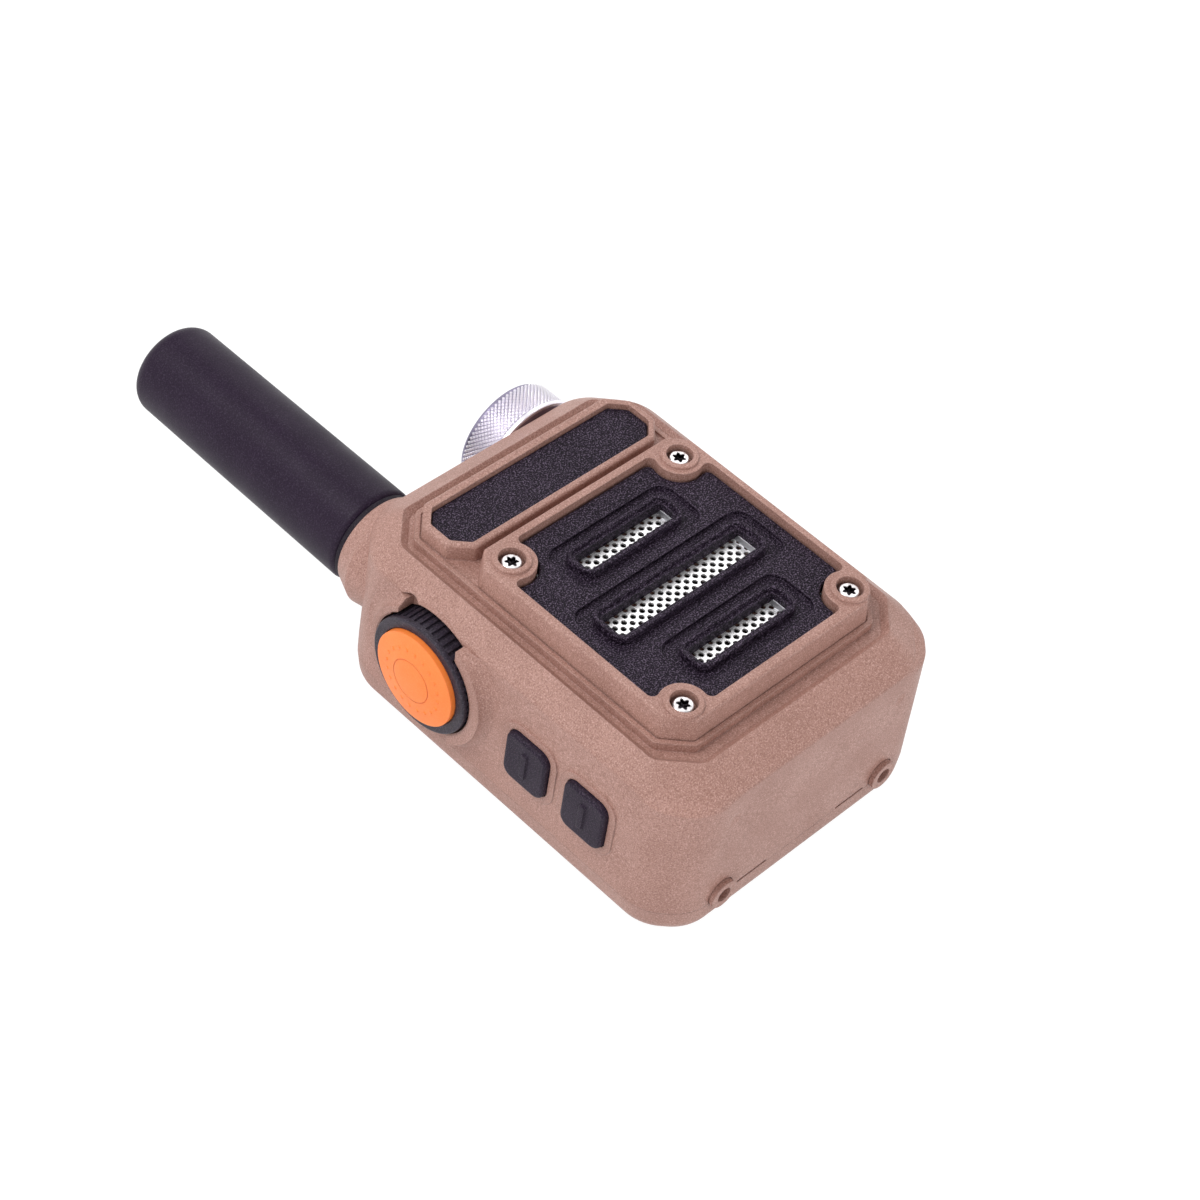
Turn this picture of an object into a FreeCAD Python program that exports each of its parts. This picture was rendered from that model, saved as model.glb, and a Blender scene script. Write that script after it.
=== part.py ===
"""Toy walkie talkie: moulded case, antenna, knob, talk button, side keys and inner parts.

Millimetres. X points to the radio's right, Y towards the antenna, Z out of its front.
The origin is on the flat back face that the radio lies on, in the middle of its width.
"""
import FreeCAD
import Part
import math
import os

from FreeCAD import Vector

# ---------------------------------------------------------------- driving sizes
# Case outline, given at the crease between the shoulders and the side walls.
case_half_width = 32.45
case_low_y = -40.8
case_high_y = 42.6
case_wall = 2.0
case_low_corner_cut = 6.2
case_high_corner_cut = 7.8
case_corner_radius = 9.0
crease_z = 32.4
crease_low_corner_cut = 9.0
crease_high_corner_cut = 8.4
crease_corner_drop = 1.2
crease_rounding = 1.0
side_draft = 0.45
seam_z = 6.7
seam_gap = 0.05
back_edge_rounding = 4.4
back_side_taper = 1.1

# Shoulder, groove and ledge that frame the front.
lip_z = 36.3
lip_half_width = 28.5
lip_low_y = -34.5
lip_high_y = 37.6
lip_cut = 6.1
lip_corner_radius = 2.5
groove_floor_z = 35.2
groove_floor_width = 1.0
ledge_half_width = 26.2
ledge_low_y = -31.3
ledge_high_y = 35.5
ledge_cut = 4.8
ledge_corner_radius = 1.2
ledge_z = 36.6
ridge_width = 0.9
ridge_height = 0.35

# Raised field that carries the grille plate.
field_top_z = 41.7
field_half_width = 24.7
field_low_y = -30.0
field_high_y = 18.8
field_low_cut = 4.2
field_high_cut = 3.0
field_corner_radius = 1.0
field_draft = 0.4
field_edge_rounding = 0.6
recess_half_width = 23.3
recess_low_y = -28.2
recess_high_y = 17.2
recess_floor_z = 37.6
recess_corner_radius = 1.2

# Raised frame and plate at the top of the front.
badge_frame_z = 40.0
badge_frame_half_width = 24.9
badge_frame_low_y = 20.8
badge_frame_high_y = 34.0
badge_frame_cut = 3.6
badge_half_width = 23.7
badge_low_y = 22.1
badge_high_y = 32.3
badge_cut = 2.7
badge_corner_radius = 1.0
badge_floor_z = 38.2
badge_thickness = 0.8
badge_clearance = 0.12

# The four case screws and the bosses that they pass through.
screw_half_pitch = 20.0
screw_centre_y = -6.1
screw_radius = 1.0
screw_length = 14.0
screw_head_radius = 1.8
screw_head_height = 1.3
screw_head_z = 41.5
screw_socket_depth = 0.7
screw_socket_radius = 0.95
screw_hole_clearance = 0.2
screw_thread_clearance = 0.02
counterbore_radius = 2.4
boss_ring_radius = 3.4
boss_ring_z = 42.3
boss_pad_clearance = 0.95
boss_joint_z = 30.2
post_radius = 3.0
post_foot_radius = 4.0

# Grille plate and perforated sheet.
plate_top_z = 40.3
plate_gap = 0.4
plate_edge_rounding = 0.35
sheet_thickness = 0.4
sheet_margin = 0.6
moat_depth = 0.8
moat_width = 2.75
slot_rim_width = 1.25
slot_corner_radius = 1.0
middle_slot_half_length = 16.6
middle_slot_half_height = 2.7
middle_slot_y = -6.25
outer_slot_half_length = 10.4
outer_slot_half_height = 2.0
outer_slot_offset = 13.3
floor_window_margin = 0.6
hole_pitch_x = 2.13
hole_pitch_y = 1.90
hole_radius = 0.49

# Talk button on the left side.
talk_y = 17.7
talk_z = 20.3
talk_ring_radius = 11.2
talk_ring_bore = 9.3
talk_ring_face_x = -35.5
talk_rib_count = 48
talk_rib_depth = 0.45
talk_pocket_clearance = 0.35
talk_pocket_floor_x = -29.6
talk_pocket_wall = 1.6
talk_cap_clearance = 0.17
talk_cap_rim_x = -36.4
talk_cap_dome = 1.0
talk_cap_depth = 3.6
talk_stem_radius = 3.0
talk_stem_clearance = 0.2
talk_travel = 1.2
talk_circle_radius = 4.3
talk_circle_depth = 0.15

# Moulded guards before and behind the talk button.
guard_face_x = -34.5
guard_face_radius = 12.7
guard_base_radius = 15.9
guard_half_gap = 7.0
relief_radius = 12.9
relief_floor_x = -31.2
scoop_radius = 3.0
scoop_angle = 57.0

# The two side keys.
key_y_upper = -6.8
key_pitch = 13.7
key_z = 18.5
key_size_y = 9.5
key_size_z = 10.8
key_corner_radius = 2.2
key_face_x = -34.0
key_clearance = 0.15
key_flange = 0.9
key_flange_thickness = 1.0
key_edge_rounding = 0.7
key_bar_length = 5.4
key_bar_width = 1.2
key_bar_height = 0.3
key_stem_radius = 1.5
key_travel = 0.7
key_frame_width = 1.4
key_frame_height = 0.45

# Switches and the small board behind the left side.
side_board_x = -25.2
side_board_thickness = 1.0
side_board_low_y = -28.5
side_board_high_y = 30.5
side_board_low_z = 9.5
side_board_high_z = 29.5
switch_size = 6.0
switch_thickness = 2.4
switch_bore_clearance = 0.1
switch_entry = 0.3
plunger_tip_radius = 1.5
board_slot_clearance = 0.05
board_rib_length = 2.4
board_rib_width = 0.9

# Antenna.
antenna_x = -20.6
antenna_z = 21.5
antenna_base_radius = 9.35
antenna_tip_radius = 9.1
antenna_tip_y = 102.4
antenna_tip_rounding = 3.0
antenna_base_rounding = 1.3
antenna_boss_radius = 9.3
antenna_boss_flare = 1.5
antenna_boss_end_y = 44.7
antenna_boss_wall = 2.4
antenna_collar_radius = 9.0
antenna_collar_thickness = 1.1
connector_radius = 3.2
connector_clearance = 0.1
connector_flange_radius = 5.2
connector_flange_thickness = 1.6
connector_length = 5.5
antenna_rod_radius = 1.4
antenna_rod_length = 44.0
antenna_rod_start = 3.5

# Knob, its shaft and the rotary switch that it turns.
knob_x = 16.2
knob_z = 21.0
knob_base_radius = 11.5
knob_end_radius = 11.15
knob_base_y = 43.9
knob_end_y = 51.6
knob_edge_rounding = 0.6
knob_rim_height = 0.9
knob_rim_step = 0.25
knob_hollow_radius = 8.0
knob_hollow_depth = 2.6
knob_boss_radius = 9.2
knob_boss_gap = 0.4
knob_cap_thickness = 1.6
shaft_radius = 3.0
shaft_running_clearance = 0.05
shaft_seat_clearance = 0.02
bushing_radius = 3.6
bushing_hole_clearance = 0.1
bushing_reach = 1.7
rotary_size = 11.0
rotary_depth = 6.5
rotary_floor = 1.5
nut_across_flats = 9.0
nut_thickness = 1.4

# Inner parts.
board_half_width = 27.5
board_left_gap = 0.3
board_low_y = -36.0
board_high_y = 29.5
board_z = 17.0
board_thickness = 1.6
board_hole_clearance = 0.3
board_corner_cut = 7.0
board_corner_radius = 1.0
chip_size = 14.0
chip_height = 2.2
chip_y = -4.0
battery_width = 30.0
battery_length = 48.0
battery_thickness = 10.0
battery_y = -6.1
battery_rounding = 2.5
battery_rib = 1.2
battery_rib_height = 5.0
battery_fit = 0.3
foam_width = 20.0
foam_length = 30.0
microphone_radius = 3.0
microphone_height = 2.7
microphone_y = -31.5
speaker_radius = 18.0
speaker_gasket_thickness = 0.6
speaker_gasket_width = 2.0
speaker_flange_thickness = 1.0
speaker_depth = 3.6
speaker_back_radius = 10.0
speaker_sheet = 0.6
speaker_magnet_radius = 9.5
speaker_magnet_height = 3.4
cone_thickness = 0.4
dust_cap_radius = 4.0
ceiling_z = 35.3

# Charging socket in the right side wall.
socket_y = -20.0
socket_half_length = 4.5
socket_half_height = 1.6
socket_depth = 7.3
socket_sheet = 0.3
socket_window_clearance = 0.15

# Details of the lower end wall.
ear_x = 20.1
ear_z = 7.8
ear_radius = 2.8
ear_reach = 0.9
ear_bore_radius = 1.5
ear_bore_depth = 3.4
ear_depth = 4.4
ear_clearance = 0.12
dimple_x = 20.3
dimple_z = 26.9
dimple_radius = 1.5
dimple_depth = 0.25
vent_inner_x = 8.8
vent_outer_x = 15.9
vent_height = 0.5
tongue_height = 1.2
tongue_width = 0.9
tongue_clearance = 0.1

# ---------------------------------------------------------------- worked-out sizes
COS_45 = math.sqrt(0.5)
seam_low_y = case_low_y - side_draft
screw_points = [
    (sx * screw_half_pitch, screw_centre_y + sy * screw_half_pitch)
    for sx in (-1, 1)
    for sy in (-1, 1)
]
boss_pad_radius = boss_ring_radius + boss_pad_clearance
key_centres = {"upper": key_y_upper, "lower": key_y_upper - key_pitch}
switch_face_x = side_board_x - switch_thickness
knob_boss_end_y = knob_base_y - knob_boss_gap
inner_end_y = case_high_y - case_wall
slots = [
    (middle_slot_y, middle_slot_half_length, middle_slot_half_height),
    (middle_slot_y + outer_slot_offset, outer_slot_half_length, outer_slot_half_height),
    (middle_slot_y - outer_slot_offset, outer_slot_half_length, outer_slot_half_height),
]


# ---------------------------------------------------------------- helpers
def block(x_range, y_range, z_range):
    """Box between two corners."""
    size = [high - low for low, high in (x_range, y_range, z_range)]
    return Part.makeBox(*size, Vector(x_range[0], y_range[0], z_range[0]))


def rod(start, direction, length, radius):
    """Cylinder from a start point along a direction."""
    return Part.makeCylinder(radius, length, Vector(*start), Vector(*direction))


def rounded_polygon(points, radius):
    """Closed wire through the points in the XY plane at their Z, each corner rounded."""
    edges = []
    count = len(points)
    ends = []
    for index in range(count):
        corner = points[index]
        back = (points[index - 1] - corner).normalize()
        ahead = (points[(index + 1) % count] - corner).normalize()
        half_angle = back.getAngle(ahead) / 2
        reach = radius / math.tan(half_angle)
        inward = (back + ahead).normalize()
        middle = corner + inward * (radius / math.sin(half_angle) - radius)
        ends.append((corner + back * reach, middle, corner + ahead * reach))
    for index in range(count):
        start, middle, end = ends[index]
        edges.append(Part.Arc(start, middle, end).toShape())
        following = ends[(index + 1) % count][0]
        if end.distanceToPoint(following) > 1e-6:
            edges.append(Part.LineSegment(end, following).toShape())
    return Part.Wire(edges)


def cut_rectangle(half_x, low_y, high_y, low_cut, high_cut, radius, z):
    """Rectangle with 45-degree corner cuts, all eight corners rounded."""
    corners = [
        (half_x - low_cut, low_y),
        (half_x, low_y + low_cut),
        (half_x, high_y - high_cut),
        (half_x - high_cut, high_y),
        (high_cut - half_x, high_y),
        (-half_x, high_y - high_cut),
        (-half_x, low_y + low_cut),
        (low_cut - half_x, low_y),
    ]
    return rounded_polygon([Vector(x, y, z) for x, y in corners], radius)


def rectangle(half_x, low_y, high_y, radius, z):
    """Rectangle with rounded corners."""
    corners = [(half_x, low_y), (half_x, high_y), (-half_x, high_y), (-half_x, low_y)]
    return rounded_polygon([Vector(x, y, z) for x, y in corners], radius)


def blend(first, second, share):
    """Values part of the way from the first to the second."""
    return tuple(a + (b - a) * share for a, b in zip(first, second))


def prism(wire, height):
    """Solid of one flat outline raised along Z."""
    return Part.Face(wire).extrude(Vector(0, 0, height))


def loft(*wires):
    """Solid with straight walls through matching outlines."""
    return Part.makeLoft(list(wires), True, True)


def rounded(shape, radius, chosen):
    """Shape with the edges that the test picks rounded."""
    return shape.makeFillet(radius, [edge for edge in shape.Edges if chosen(edge)])


def at_level(z):
    """Edge test: the whole edge lies at this height."""
    def chosen(edge):
        bounds = edge.BoundBox
        return abs(bounds.ZMin - z) < 1e-4 and abs(bounds.ZMax - z) < 1e-4
    return chosen


def upright(edge):
    """Edge test: a straight edge along Z."""
    bounds = edge.BoundBox
    return bounds.XLength < 1e-4 and bounds.YLength < 1e-4 and bounds.ZLength > 1e-3


def turned(profile, centre, axis):
    """Solid of revolution of (distance along axis, radius) points about a line."""
    if axis == "x":
        points = [Vector(a, centre[0] + r, centre[1]) for a, r in profile]
        origin = Vector(0, centre[0], centre[1])
        direction = Vector(1, 0, 0)
    elif axis == "y":
        points = [Vector(centre[0] + r, a, centre[1]) for a, r in profile]
        origin = Vector(centre[0], 0, centre[1])
        direction = Vector(0, 1, 0)
    else:
        points = [Vector(centre[0] + r, centre[1], a) for a, r in profile]
        origin = Vector(centre[0], centre[1], 0)
        direction = Vector(0, 0, 1)
    outline = Part.makePolygon(points + [points[0]])
    return Part.Face(outline).revolve(origin, direction, 360)


# ---------------------------------------------------------------- case
def case_outline(inset, z):
    """Outline of the side walls at a height, wider towards the seam by the draft."""
    growth = side_draft * (crease_z - max(z, seam_z)) / (crease_z - seam_z)
    taper = back_side_taper * (seam_z - min(z, seam_z)) / seam_z
    cut_loss = inset * (2 - 2 * COS_45)
    return cut_rectangle(
        case_half_width + growth - taper - inset,
        case_low_y - growth + inset,
        case_high_y + growth - inset,
        case_low_corner_cut - cut_loss,
        case_high_corner_cut - cut_loss,
        case_corner_radius - inset,
        z,
    )


def crease_sections():
    """Outlines that round the crease, where the walls turn into the shoulders."""
    plan = (case_half_width, case_low_y, case_high_y)
    walls = plan + (case_low_corner_cut, case_high_corner_cut, case_corner_radius)
    crease = plan + (crease_low_corner_cut, crease_high_corner_cut, case_corner_radius)
    lip = (lip_half_width, lip_low_y, lip_high_y, lip_cut, lip_cut, lip_corner_radius)
    reach = crease_rounding * math.tan(math.pi / 8)
    sagitta = crease_rounding * (1 / math.cos(math.pi / 8) - 1)
    pull = sagitta * math.cos(math.pi / 8)
    middle = (crease[0] - pull, crease[1] + pull, crease[2] - pull) + crease[3:]
    rise = reach * COS_45
    return [
        cut_rectangle(*walls, crease_z - crease_corner_drop),
        cut_rectangle(*blend(crease, walls, reach / crease_corner_drop), crease_z - reach),
        cut_rectangle(*middle, crease_z - sagitta * math.sin(math.pi / 8)),
        cut_rectangle(*blend(crease, lip, rise / (lip_z - crease_z)), crease_z + rise),
    ]


def lip_outline(inset, z):
    """Outline of the shoulder's upper end."""
    cut = lip_cut - inset * (2 - 2 * COS_45)
    return cut_rectangle(
        lip_half_width - inset, lip_low_y + inset, lip_high_y - inset, cut, cut, lip_corner_radius, z
    )


def ledge_outline(inset, z):
    """Outline of the ledge inside the groove."""
    cut = ledge_cut - inset * (2 - 2 * COS_45)
    return cut_rectangle(
        ledge_half_width - inset,
        ledge_low_y + inset,
        ledge_high_y - inset,
        cut,
        cut,
        ledge_corner_radius,
        z,
    )


def shoulder_shape():
    """Outer form of the front housing up to the lip, before the raised fields."""
    outer = loft(case_outline(0, seam_z), *crease_sections(), lip_outline(0, lip_z))
    groove_depth = lip_z - groove_floor_z
    slope_foot = lip_half_width - ledge_half_width - groove_floor_width
    groove = loft(lip_outline(slope_foot, groove_floor_z), lip_outline(-slope_foot, lip_z + groove_depth))
    return outer.cut(groove.cut(prism(ledge_outline(0, groove_floor_z), groove_depth * 2)))


def ledge_shape():
    """Ledge inside the groove, with the fine ridge along its edge."""
    ledge = prism(ledge_outline(0, groove_floor_z), ledge_z - groove_floor_z)
    ridge = prism(ledge_outline(0, ledge_z), ridge_height)
    ridge = ridge.cut(prism(ledge_outline(ridge_width, ledge_z), ridge_height))
    return ledge.fuse(ridge)


def field_shape():
    """Raised field round the grille recess, with drafted walls and soft upper edges."""
    foot = cut_rectangle(
        field_half_width + field_draft,
        field_low_y - field_draft,
        field_high_y + field_draft,
        field_low_cut,
        field_high_cut,
        field_corner_radius,
        groove_floor_z,
    )
    top = cut_rectangle(
        field_half_width,
        field_low_y,
        field_high_y,
        field_low_cut,
        field_high_cut,
        field_corner_radius,
        field_top_z,
    )
    return rounded(loft(foot, top), field_edge_rounding, at_level(field_top_z))


def recess_shape(gap, low_z, high_z):
    """Space between the four boss pads, smaller by a gap all round."""
    face = rectangle(
        recess_half_width - gap, recess_low_y + gap, recess_high_y - gap, recess_corner_radius, low_z
    )
    space = prism(face, high_z - low_z)
    height = (low_z, high_z)
    for x, y in screw_points:
        space = space.cut(rod((x, y, low_z), (0, 0, 1), high_z - low_z, boss_pad_radius + gap))
        far_x = math.copysign(case_half_width, x)
        far_y = math.copysign(case_high_y, y - screw_centre_y)
        space = space.cut(block(sorted((x, far_x)), sorted((y, far_y)), height))

    def pad_corner(edge):
        point = edge.Vertexes[0].Point
        distance = min(math.hypot(point.x - x, point.y - y) for x, y in screw_points)
        return upright(edge) and distance < boss_pad_radius + gap + 0.01

    return rounded(space, recess_corner_radius, pad_corner)


def badge_frame_shape():
    """Raised frame round the plate at the top of the front."""
    foot = cut_rectangle(
        badge_frame_half_width,
        badge_frame_low_y,
        badge_frame_high_y,
        badge_frame_cut,
        badge_frame_cut,
        badge_corner_radius,
        groove_floor_z,
    )
    frame = prism(foot, badge_frame_z - groove_floor_z)
    return rounded(frame, field_edge_rounding, at_level(badge_frame_z))


def badge_space(gap, low_z, high_z):
    """Recess of the badge frame, smaller by a gap all round."""
    outline = cut_rectangle(
        badge_half_width - gap,
        badge_low_y + gap,
        badge_high_y - gap,
        badge_cut,
        badge_cut,
        badge_corner_radius,
        low_z,
    )
    return prism(outline, high_z - low_z)


def guard_shape():
    """Crescent guards before and behind the talk button, with hollow flanks."""
    centre = (talk_y, talk_z)
    base_x = -case_half_width + case_wall / 2
    face = Vector(guard_face_x, talk_y + guard_face_radius, talk_z)
    base = Vector(-case_half_width, talk_y + guard_base_radius, talk_z)
    waist = Vector(
        (face.x + 2 * base.x) / 3,
        talk_y + guard_face_radius + 0.3 * (guard_base_radius - guard_face_radius),
        talk_z,
    )
    flank = Part.Arc(face, waist, base).toShape()
    rest = Part.makePolygon(
        [
            base,
            Vector(base_x, base.y, talk_z),
            Vector(base_x, talk_y, talk_z),
            Vector(guard_face_x, talk_y, talk_z),
            face,
        ]
    )
    hub = Part.Face(Part.Wire([flank] + rest.Edges)).revolve(
        Vector(0, *centre), Vector(1, 0, 0), 360
    )
    reach = guard_base_radius + case_wall
    gap = block(
        (guard_face_x - 1, -case_half_width),
        (talk_y - guard_half_gap, talk_y + guard_half_gap),
        (talk_z - reach, talk_z + reach),
    )
    side = block(
        (guard_face_x - 1, base_x),
        (talk_y - reach, talk_y + reach),
        (seam_z, crease_z - crease_rounding / 2),
    )
    return hub.common(side).cut(gap)


def relief_shape():
    """Space that bares the ribs above and below the talk ring, with a scoop towards the antenna."""
    start = (guard_face_x - 1, talk_y, talk_z)
    depth = relief_floor_x - start[0]
    space = rod(start, (1, 0, 0), depth, relief_radius).common(
        block(
            (start[0], relief_floor_x),
            (talk_y - guard_half_gap, talk_y + guard_half_gap),
            (talk_z, crease_z + case_wall),
        )
    )
    angle = math.radians(scoop_angle)
    distance = relief_radius - scoop_radius / 2
    scoop = rod(
        (start[0], talk_y + distance * math.cos(angle), talk_z + distance * math.sin(angle)),
        (1, 0, 0),
        depth,
        scoop_radius,
    )
    return space.fuse(scoop)


def inner_space():
    """Hollow of the front housing."""
    low = case_outline(case_wall, seam_z)
    middle = case_outline(case_wall, crease_z - case_wall / 2)
    top = lip_outline(case_wall, groove_floor_z - case_wall)
    hollow = loft(low, middle, top)
    loft_top = prism(
        rectangle(
            recess_half_width,
            recess_low_y,
            recess_high_y,
            recess_corner_radius,
            groove_floor_z - case_wall,
        ),
        ceiling_z - groove_floor_z + case_wall,
    )
    return hollow.fuse(loft_top)


def key_outline(extra, y, x):
    """Outline of a side key in the YZ plane, larger by a margin."""
    half_y = key_size_y / 2 + extra
    half_z = key_size_z / 2 + extra
    radius = key_corner_radius + extra
    wire = rectangle(half_y, -half_z, half_z, radius, 0)
    wire.rotate(Vector(0, 0, 0), Vector(1, 1, 1), 120)
    wire.translate(Vector(x, y, key_z))
    return wire


def key_block(extra, y, low_x, high_x):
    """Solid of a key outline between two X positions."""
    return Part.Face(key_outline(extra, y, low_x)).extrude(Vector(high_x - low_x, 0, 0))


def case_fittings():
    """Bosses, cups and ribs inside and on the front housing, to be fused to it."""
    pieces = [guard_shape()]
    for x, y in screw_points:
        pieces.append(rod((x, y, boss_joint_z), (0, 0, 1), ceiling_z - boss_joint_z, boss_ring_radius))
    cup_radius = talk_ring_radius + talk_pocket_clearance + talk_pocket_wall
    cup_back_x = talk_pocket_floor_x + talk_pocket_wall
    pieces.append(
        rod((-case_half_width, talk_y, talk_z), (1, 0, 0), cup_back_x + case_half_width, cup_radius)
    )
    boss_start = inner_end_y - 4 * case_wall
    boss_profile = [
        (boss_start, 0),
        (boss_start, antenna_boss_radius),
        (case_high_y - antenna_boss_flare, antenna_boss_radius + antenna_boss_flare),
        (antenna_boss_end_y, antenna_boss_radius),
        (antenna_boss_end_y, 0),
    ]
    pieces.append(turned(boss_profile, (antenna_x, antenna_z), "y"))
    pieces.append(
        rod((knob_x, inner_end_y, knob_z), (0, 1, 0), knob_boss_end_y - inner_end_y, knob_boss_radius)
    )
    for y in key_centres.values():
        pieces.append(
            key_block(
                key_clearance + key_frame_width,
                y,
                -case_half_width - key_frame_height,
                -case_half_width + case_wall / 2,
            )
        )
    rib_x = (
        side_board_x - board_rib_width,
        side_board_x + side_board_thickness + board_rib_width,
    )
    rib_z = (side_board_high_z - board_rib_length, groove_floor_z - case_wall / 2)
    for low_y in (side_board_low_y - board_rib_length / 2, side_board_high_y - board_rib_length / 2):
        pieces.append(
            block(rib_x, (low_y, low_y + board_rib_length), rib_z)
        )
    return pieces


def case_openings():
    """Everything that is cut from the front housing after its fittings are on."""
    cuts = [recess_shape(0, recess_floor_z, boss_ring_z)]
    cuts.append(badge_space(0, badge_floor_z, field_top_z))
    for y, half_x, half_y in slots:
        window = rectangle(
            half_x + floor_window_margin,
            y - half_y - floor_window_margin,
            y + half_y + floor_window_margin,
            slot_corner_radius,
            ceiling_z - 1,
        )
        cuts.append(prism(window, recess_floor_z - ceiling_z + 2))
    for x, y in screw_points:
        head_seat_z = screw_head_z - screw_head_height
        cuts.append(
            rod((x, y, head_seat_z), (0, 0, 1), boss_ring_z - head_seat_z + 1, counterbore_radius)
        )
        cuts.append(
            rod(
                (x, y, boss_joint_z - 1),
                (0, 0, 1),
                head_seat_z - boss_joint_z + 2,
                screw_radius + screw_hole_clearance,
            )
        )
    pocket_radius = talk_ring_radius + talk_pocket_clearance
    cuts.append(
        rod(
            (guard_face_x - 1, talk_y, talk_z),
            (1, 0, 0),
            talk_pocket_floor_x - guard_face_x + 1,
            pocket_radius,
        )
    )
    cuts.append(relief_shape())
    cuts.append(
        rod(
            (talk_pocket_floor_x - 1, talk_y, talk_z),
            (1, 0, 0),
            talk_pocket_wall + 2,
            talk_stem_radius + talk_stem_clearance,
        )
    )
    boss_floor_y = antenna_boss_end_y - antenna_boss_wall
    cuts.append(
        rod(
            (antenna_x, inner_end_y - 5 * case_wall, antenna_z),
            (0, 1, 0),
            boss_floor_y - inner_end_y + 5 * case_wall,
            antenna_boss_radius - case_wall,
        )
    )
    cuts.append(
        rod(
            (antenna_x, boss_floor_y - 1, antenna_z),
            (0, 1, 0),
            antenna_boss_wall + 2,
            connector_radius + connector_clearance,
        )
    )
    cuts.append(
        rod(
            (knob_x, inner_end_y - 1, knob_z),
            (0, 1, 0),
            knob_boss_end_y - inner_end_y + 2,
            bushing_radius + bushing_hole_clearance,
        )
    )
    for y in key_centres.values():
        outside_x = -case_half_width - key_frame_height - 1
        flange_x = -case_half_width + case_wall - 0.3
        cuts.append(key_block(key_clearance, y, outside_x, flange_x + 1))
        cuts.append(key_block(key_flange + 2 * key_clearance, y, flange_x, flange_x + case_wall))
    slot_x = (side_board_x - board_slot_clearance, side_board_x + side_board_thickness + board_slot_clearance)
    cuts.append(
        block(
            slot_x,
            (side_board_low_y - board_slot_clearance, side_board_high_y + board_slot_clearance),
            (seam_z, side_board_high_z + board_slot_clearance),
        )
    )
    return cuts


def end_wall_cuts():
    """Ear notches, dimples, vents and the socket window in the outer walls."""
    cuts = []
    for side in (-1, 1):
        cuts.append(
            rod(
                (side * ear_x, seam_low_y - 1, ear_z),
                (0, 1, 0),
                ear_depth + 2,
                ear_radius + ear_clearance,
            )
        )
        vent_x = sorted((side * vent_inner_x, side * vent_outer_x))
        cuts.append(
            block(vent_x, (seam_low_y - 1, seam_low_y + case_wall / 2), (seam_z, seam_z + vent_height))
        )
        sphere_radius = (dimple_radius ** 2 + dimple_depth ** 2) / (2 * dimple_depth)
        wall_y = case_low_y - side_draft * (crease_z - dimple_z) / (crease_z - seam_z)
        cuts.append(
            Part.makeSphere(
                sphere_radius, Vector(side * dimple_x, wall_y + dimple_depth - sphere_radius, dimple_z)
            )
        )
    window = socket_prism(socket_window_clearance, case_half_width - 2 * case_wall, 4 * case_wall)
    cuts.append(window)
    return cuts


def socket_prism(extra, start_x, length):
    """Stadium-shaped solid along X at the charging socket."""
    half_y = socket_half_length + extra
    half_z = socket_half_height + extra
    centre_z = board_z + board_thickness + socket_half_height
    wire = rectangle(half_y, -half_z, half_z, half_z * 0.98, 0)
    wire.rotate(Vector(0, 0, 0), Vector(1, 1, 1), 120)
    wire.translate(Vector(start_x, socket_y, centre_z))
    return Part.Face(wire).extrude(Vector(length, 0, 0))


def tongue_shape(extra):
    """Ring along the seam that lines up the two housings."""
    inset = case_wall - tongue_width
    height = tongue_height + extra
    outer = prism(case_outline(inset - extra, seam_z), height)
    return outer.cut(prism(case_outline(case_wall + extra, seam_z), height))


def front_housing():
    shell = shoulder_shape().fuse([ledge_shape(), field_shape(), badge_frame_shape()])
    rings = [
        rounded(
            rod((x, y, recess_floor_z), (0, 0, 1), boss_ring_z - recess_floor_z, boss_ring_radius),
            field_edge_rounding / 2,
            at_level(boss_ring_z),
        )
        for x, y in screw_points
    ]
    shell = shell.cut(inner_space())
    shell = shell.fuse(case_fittings())
    shell = shell.cut(tongue_shape(tongue_clearance))
    shell = shell.cut(case_openings()[:2])
    shell = shell.fuse(rings)
    shell = shell.cut(case_openings()[2:] + end_wall_cuts())
    return shell.removeSplitter()


def rear_housing():
    outer = loft(case_outline(0, 0), case_outline(0, seam_z - seam_gap))
    outer = rounded(outer, back_edge_rounding, at_level(0))
    hollow = loft(case_outline(case_wall, case_wall), case_outline(case_wall, seam_z))
    hollow = rounded(hollow, back_edge_rounding - case_wall, at_level(case_wall))
    shell = outer.cut(hollow).fuse(tongue_shape(0))
    ears = []
    bores = []
    for side in (-1, 1):
        start = (side * ear_x, seam_low_y - ear_reach, ear_z)
        ears.append(rod(start, (0, 1, 0), ear_depth, ear_radius))
        bores.append(rod(start, (0, 1, 0), ear_bore_depth, ear_bore_radius))
    posts = []
    for x, y in screw_points:
        foot = rod((x, y, case_wall), (0, 0, 1), board_z - case_wall, post_foot_radius)
        post = rod((x, y, case_wall), (0, 0, 1), boss_joint_z - case_wall, post_radius)
        posts += [foot, post]
        depth = screw_length - (screw_head_z - screw_head_height - boss_joint_z) + 1
        bores.append(
            rod((x, y, boss_joint_z - depth), (0, 0, 1), depth, screw_radius + screw_thread_clearance)
        )
    ribs = []
    rib_reach = battery_fit + battery_rib
    for side in (-1, 1):
        low_x, high_x = sorted(
            (side * (battery_width / 2 + battery_fit), side * (battery_width / 2 + rib_reach))
        )
        ribs.append(
            block(
                (low_x, high_x),
                (battery_y - battery_length / 4, battery_y + battery_length / 4),
                (case_wall, case_wall + battery_rib_height),
            )
        )
        low_y, high_y = sorted(
            (
                battery_y + side * (battery_length / 2 + battery_fit),
                battery_y + side * (battery_length / 2 + rib_reach),
            )
        )
        ribs.append(
            block(
                (-battery_width / 4, battery_width / 4),
                (low_y, high_y),
                (case_wall, case_wall + battery_rib_height),
            )
        )
    return shell.fuse(ears + posts + ribs).cut(bores).removeSplitter()


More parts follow.
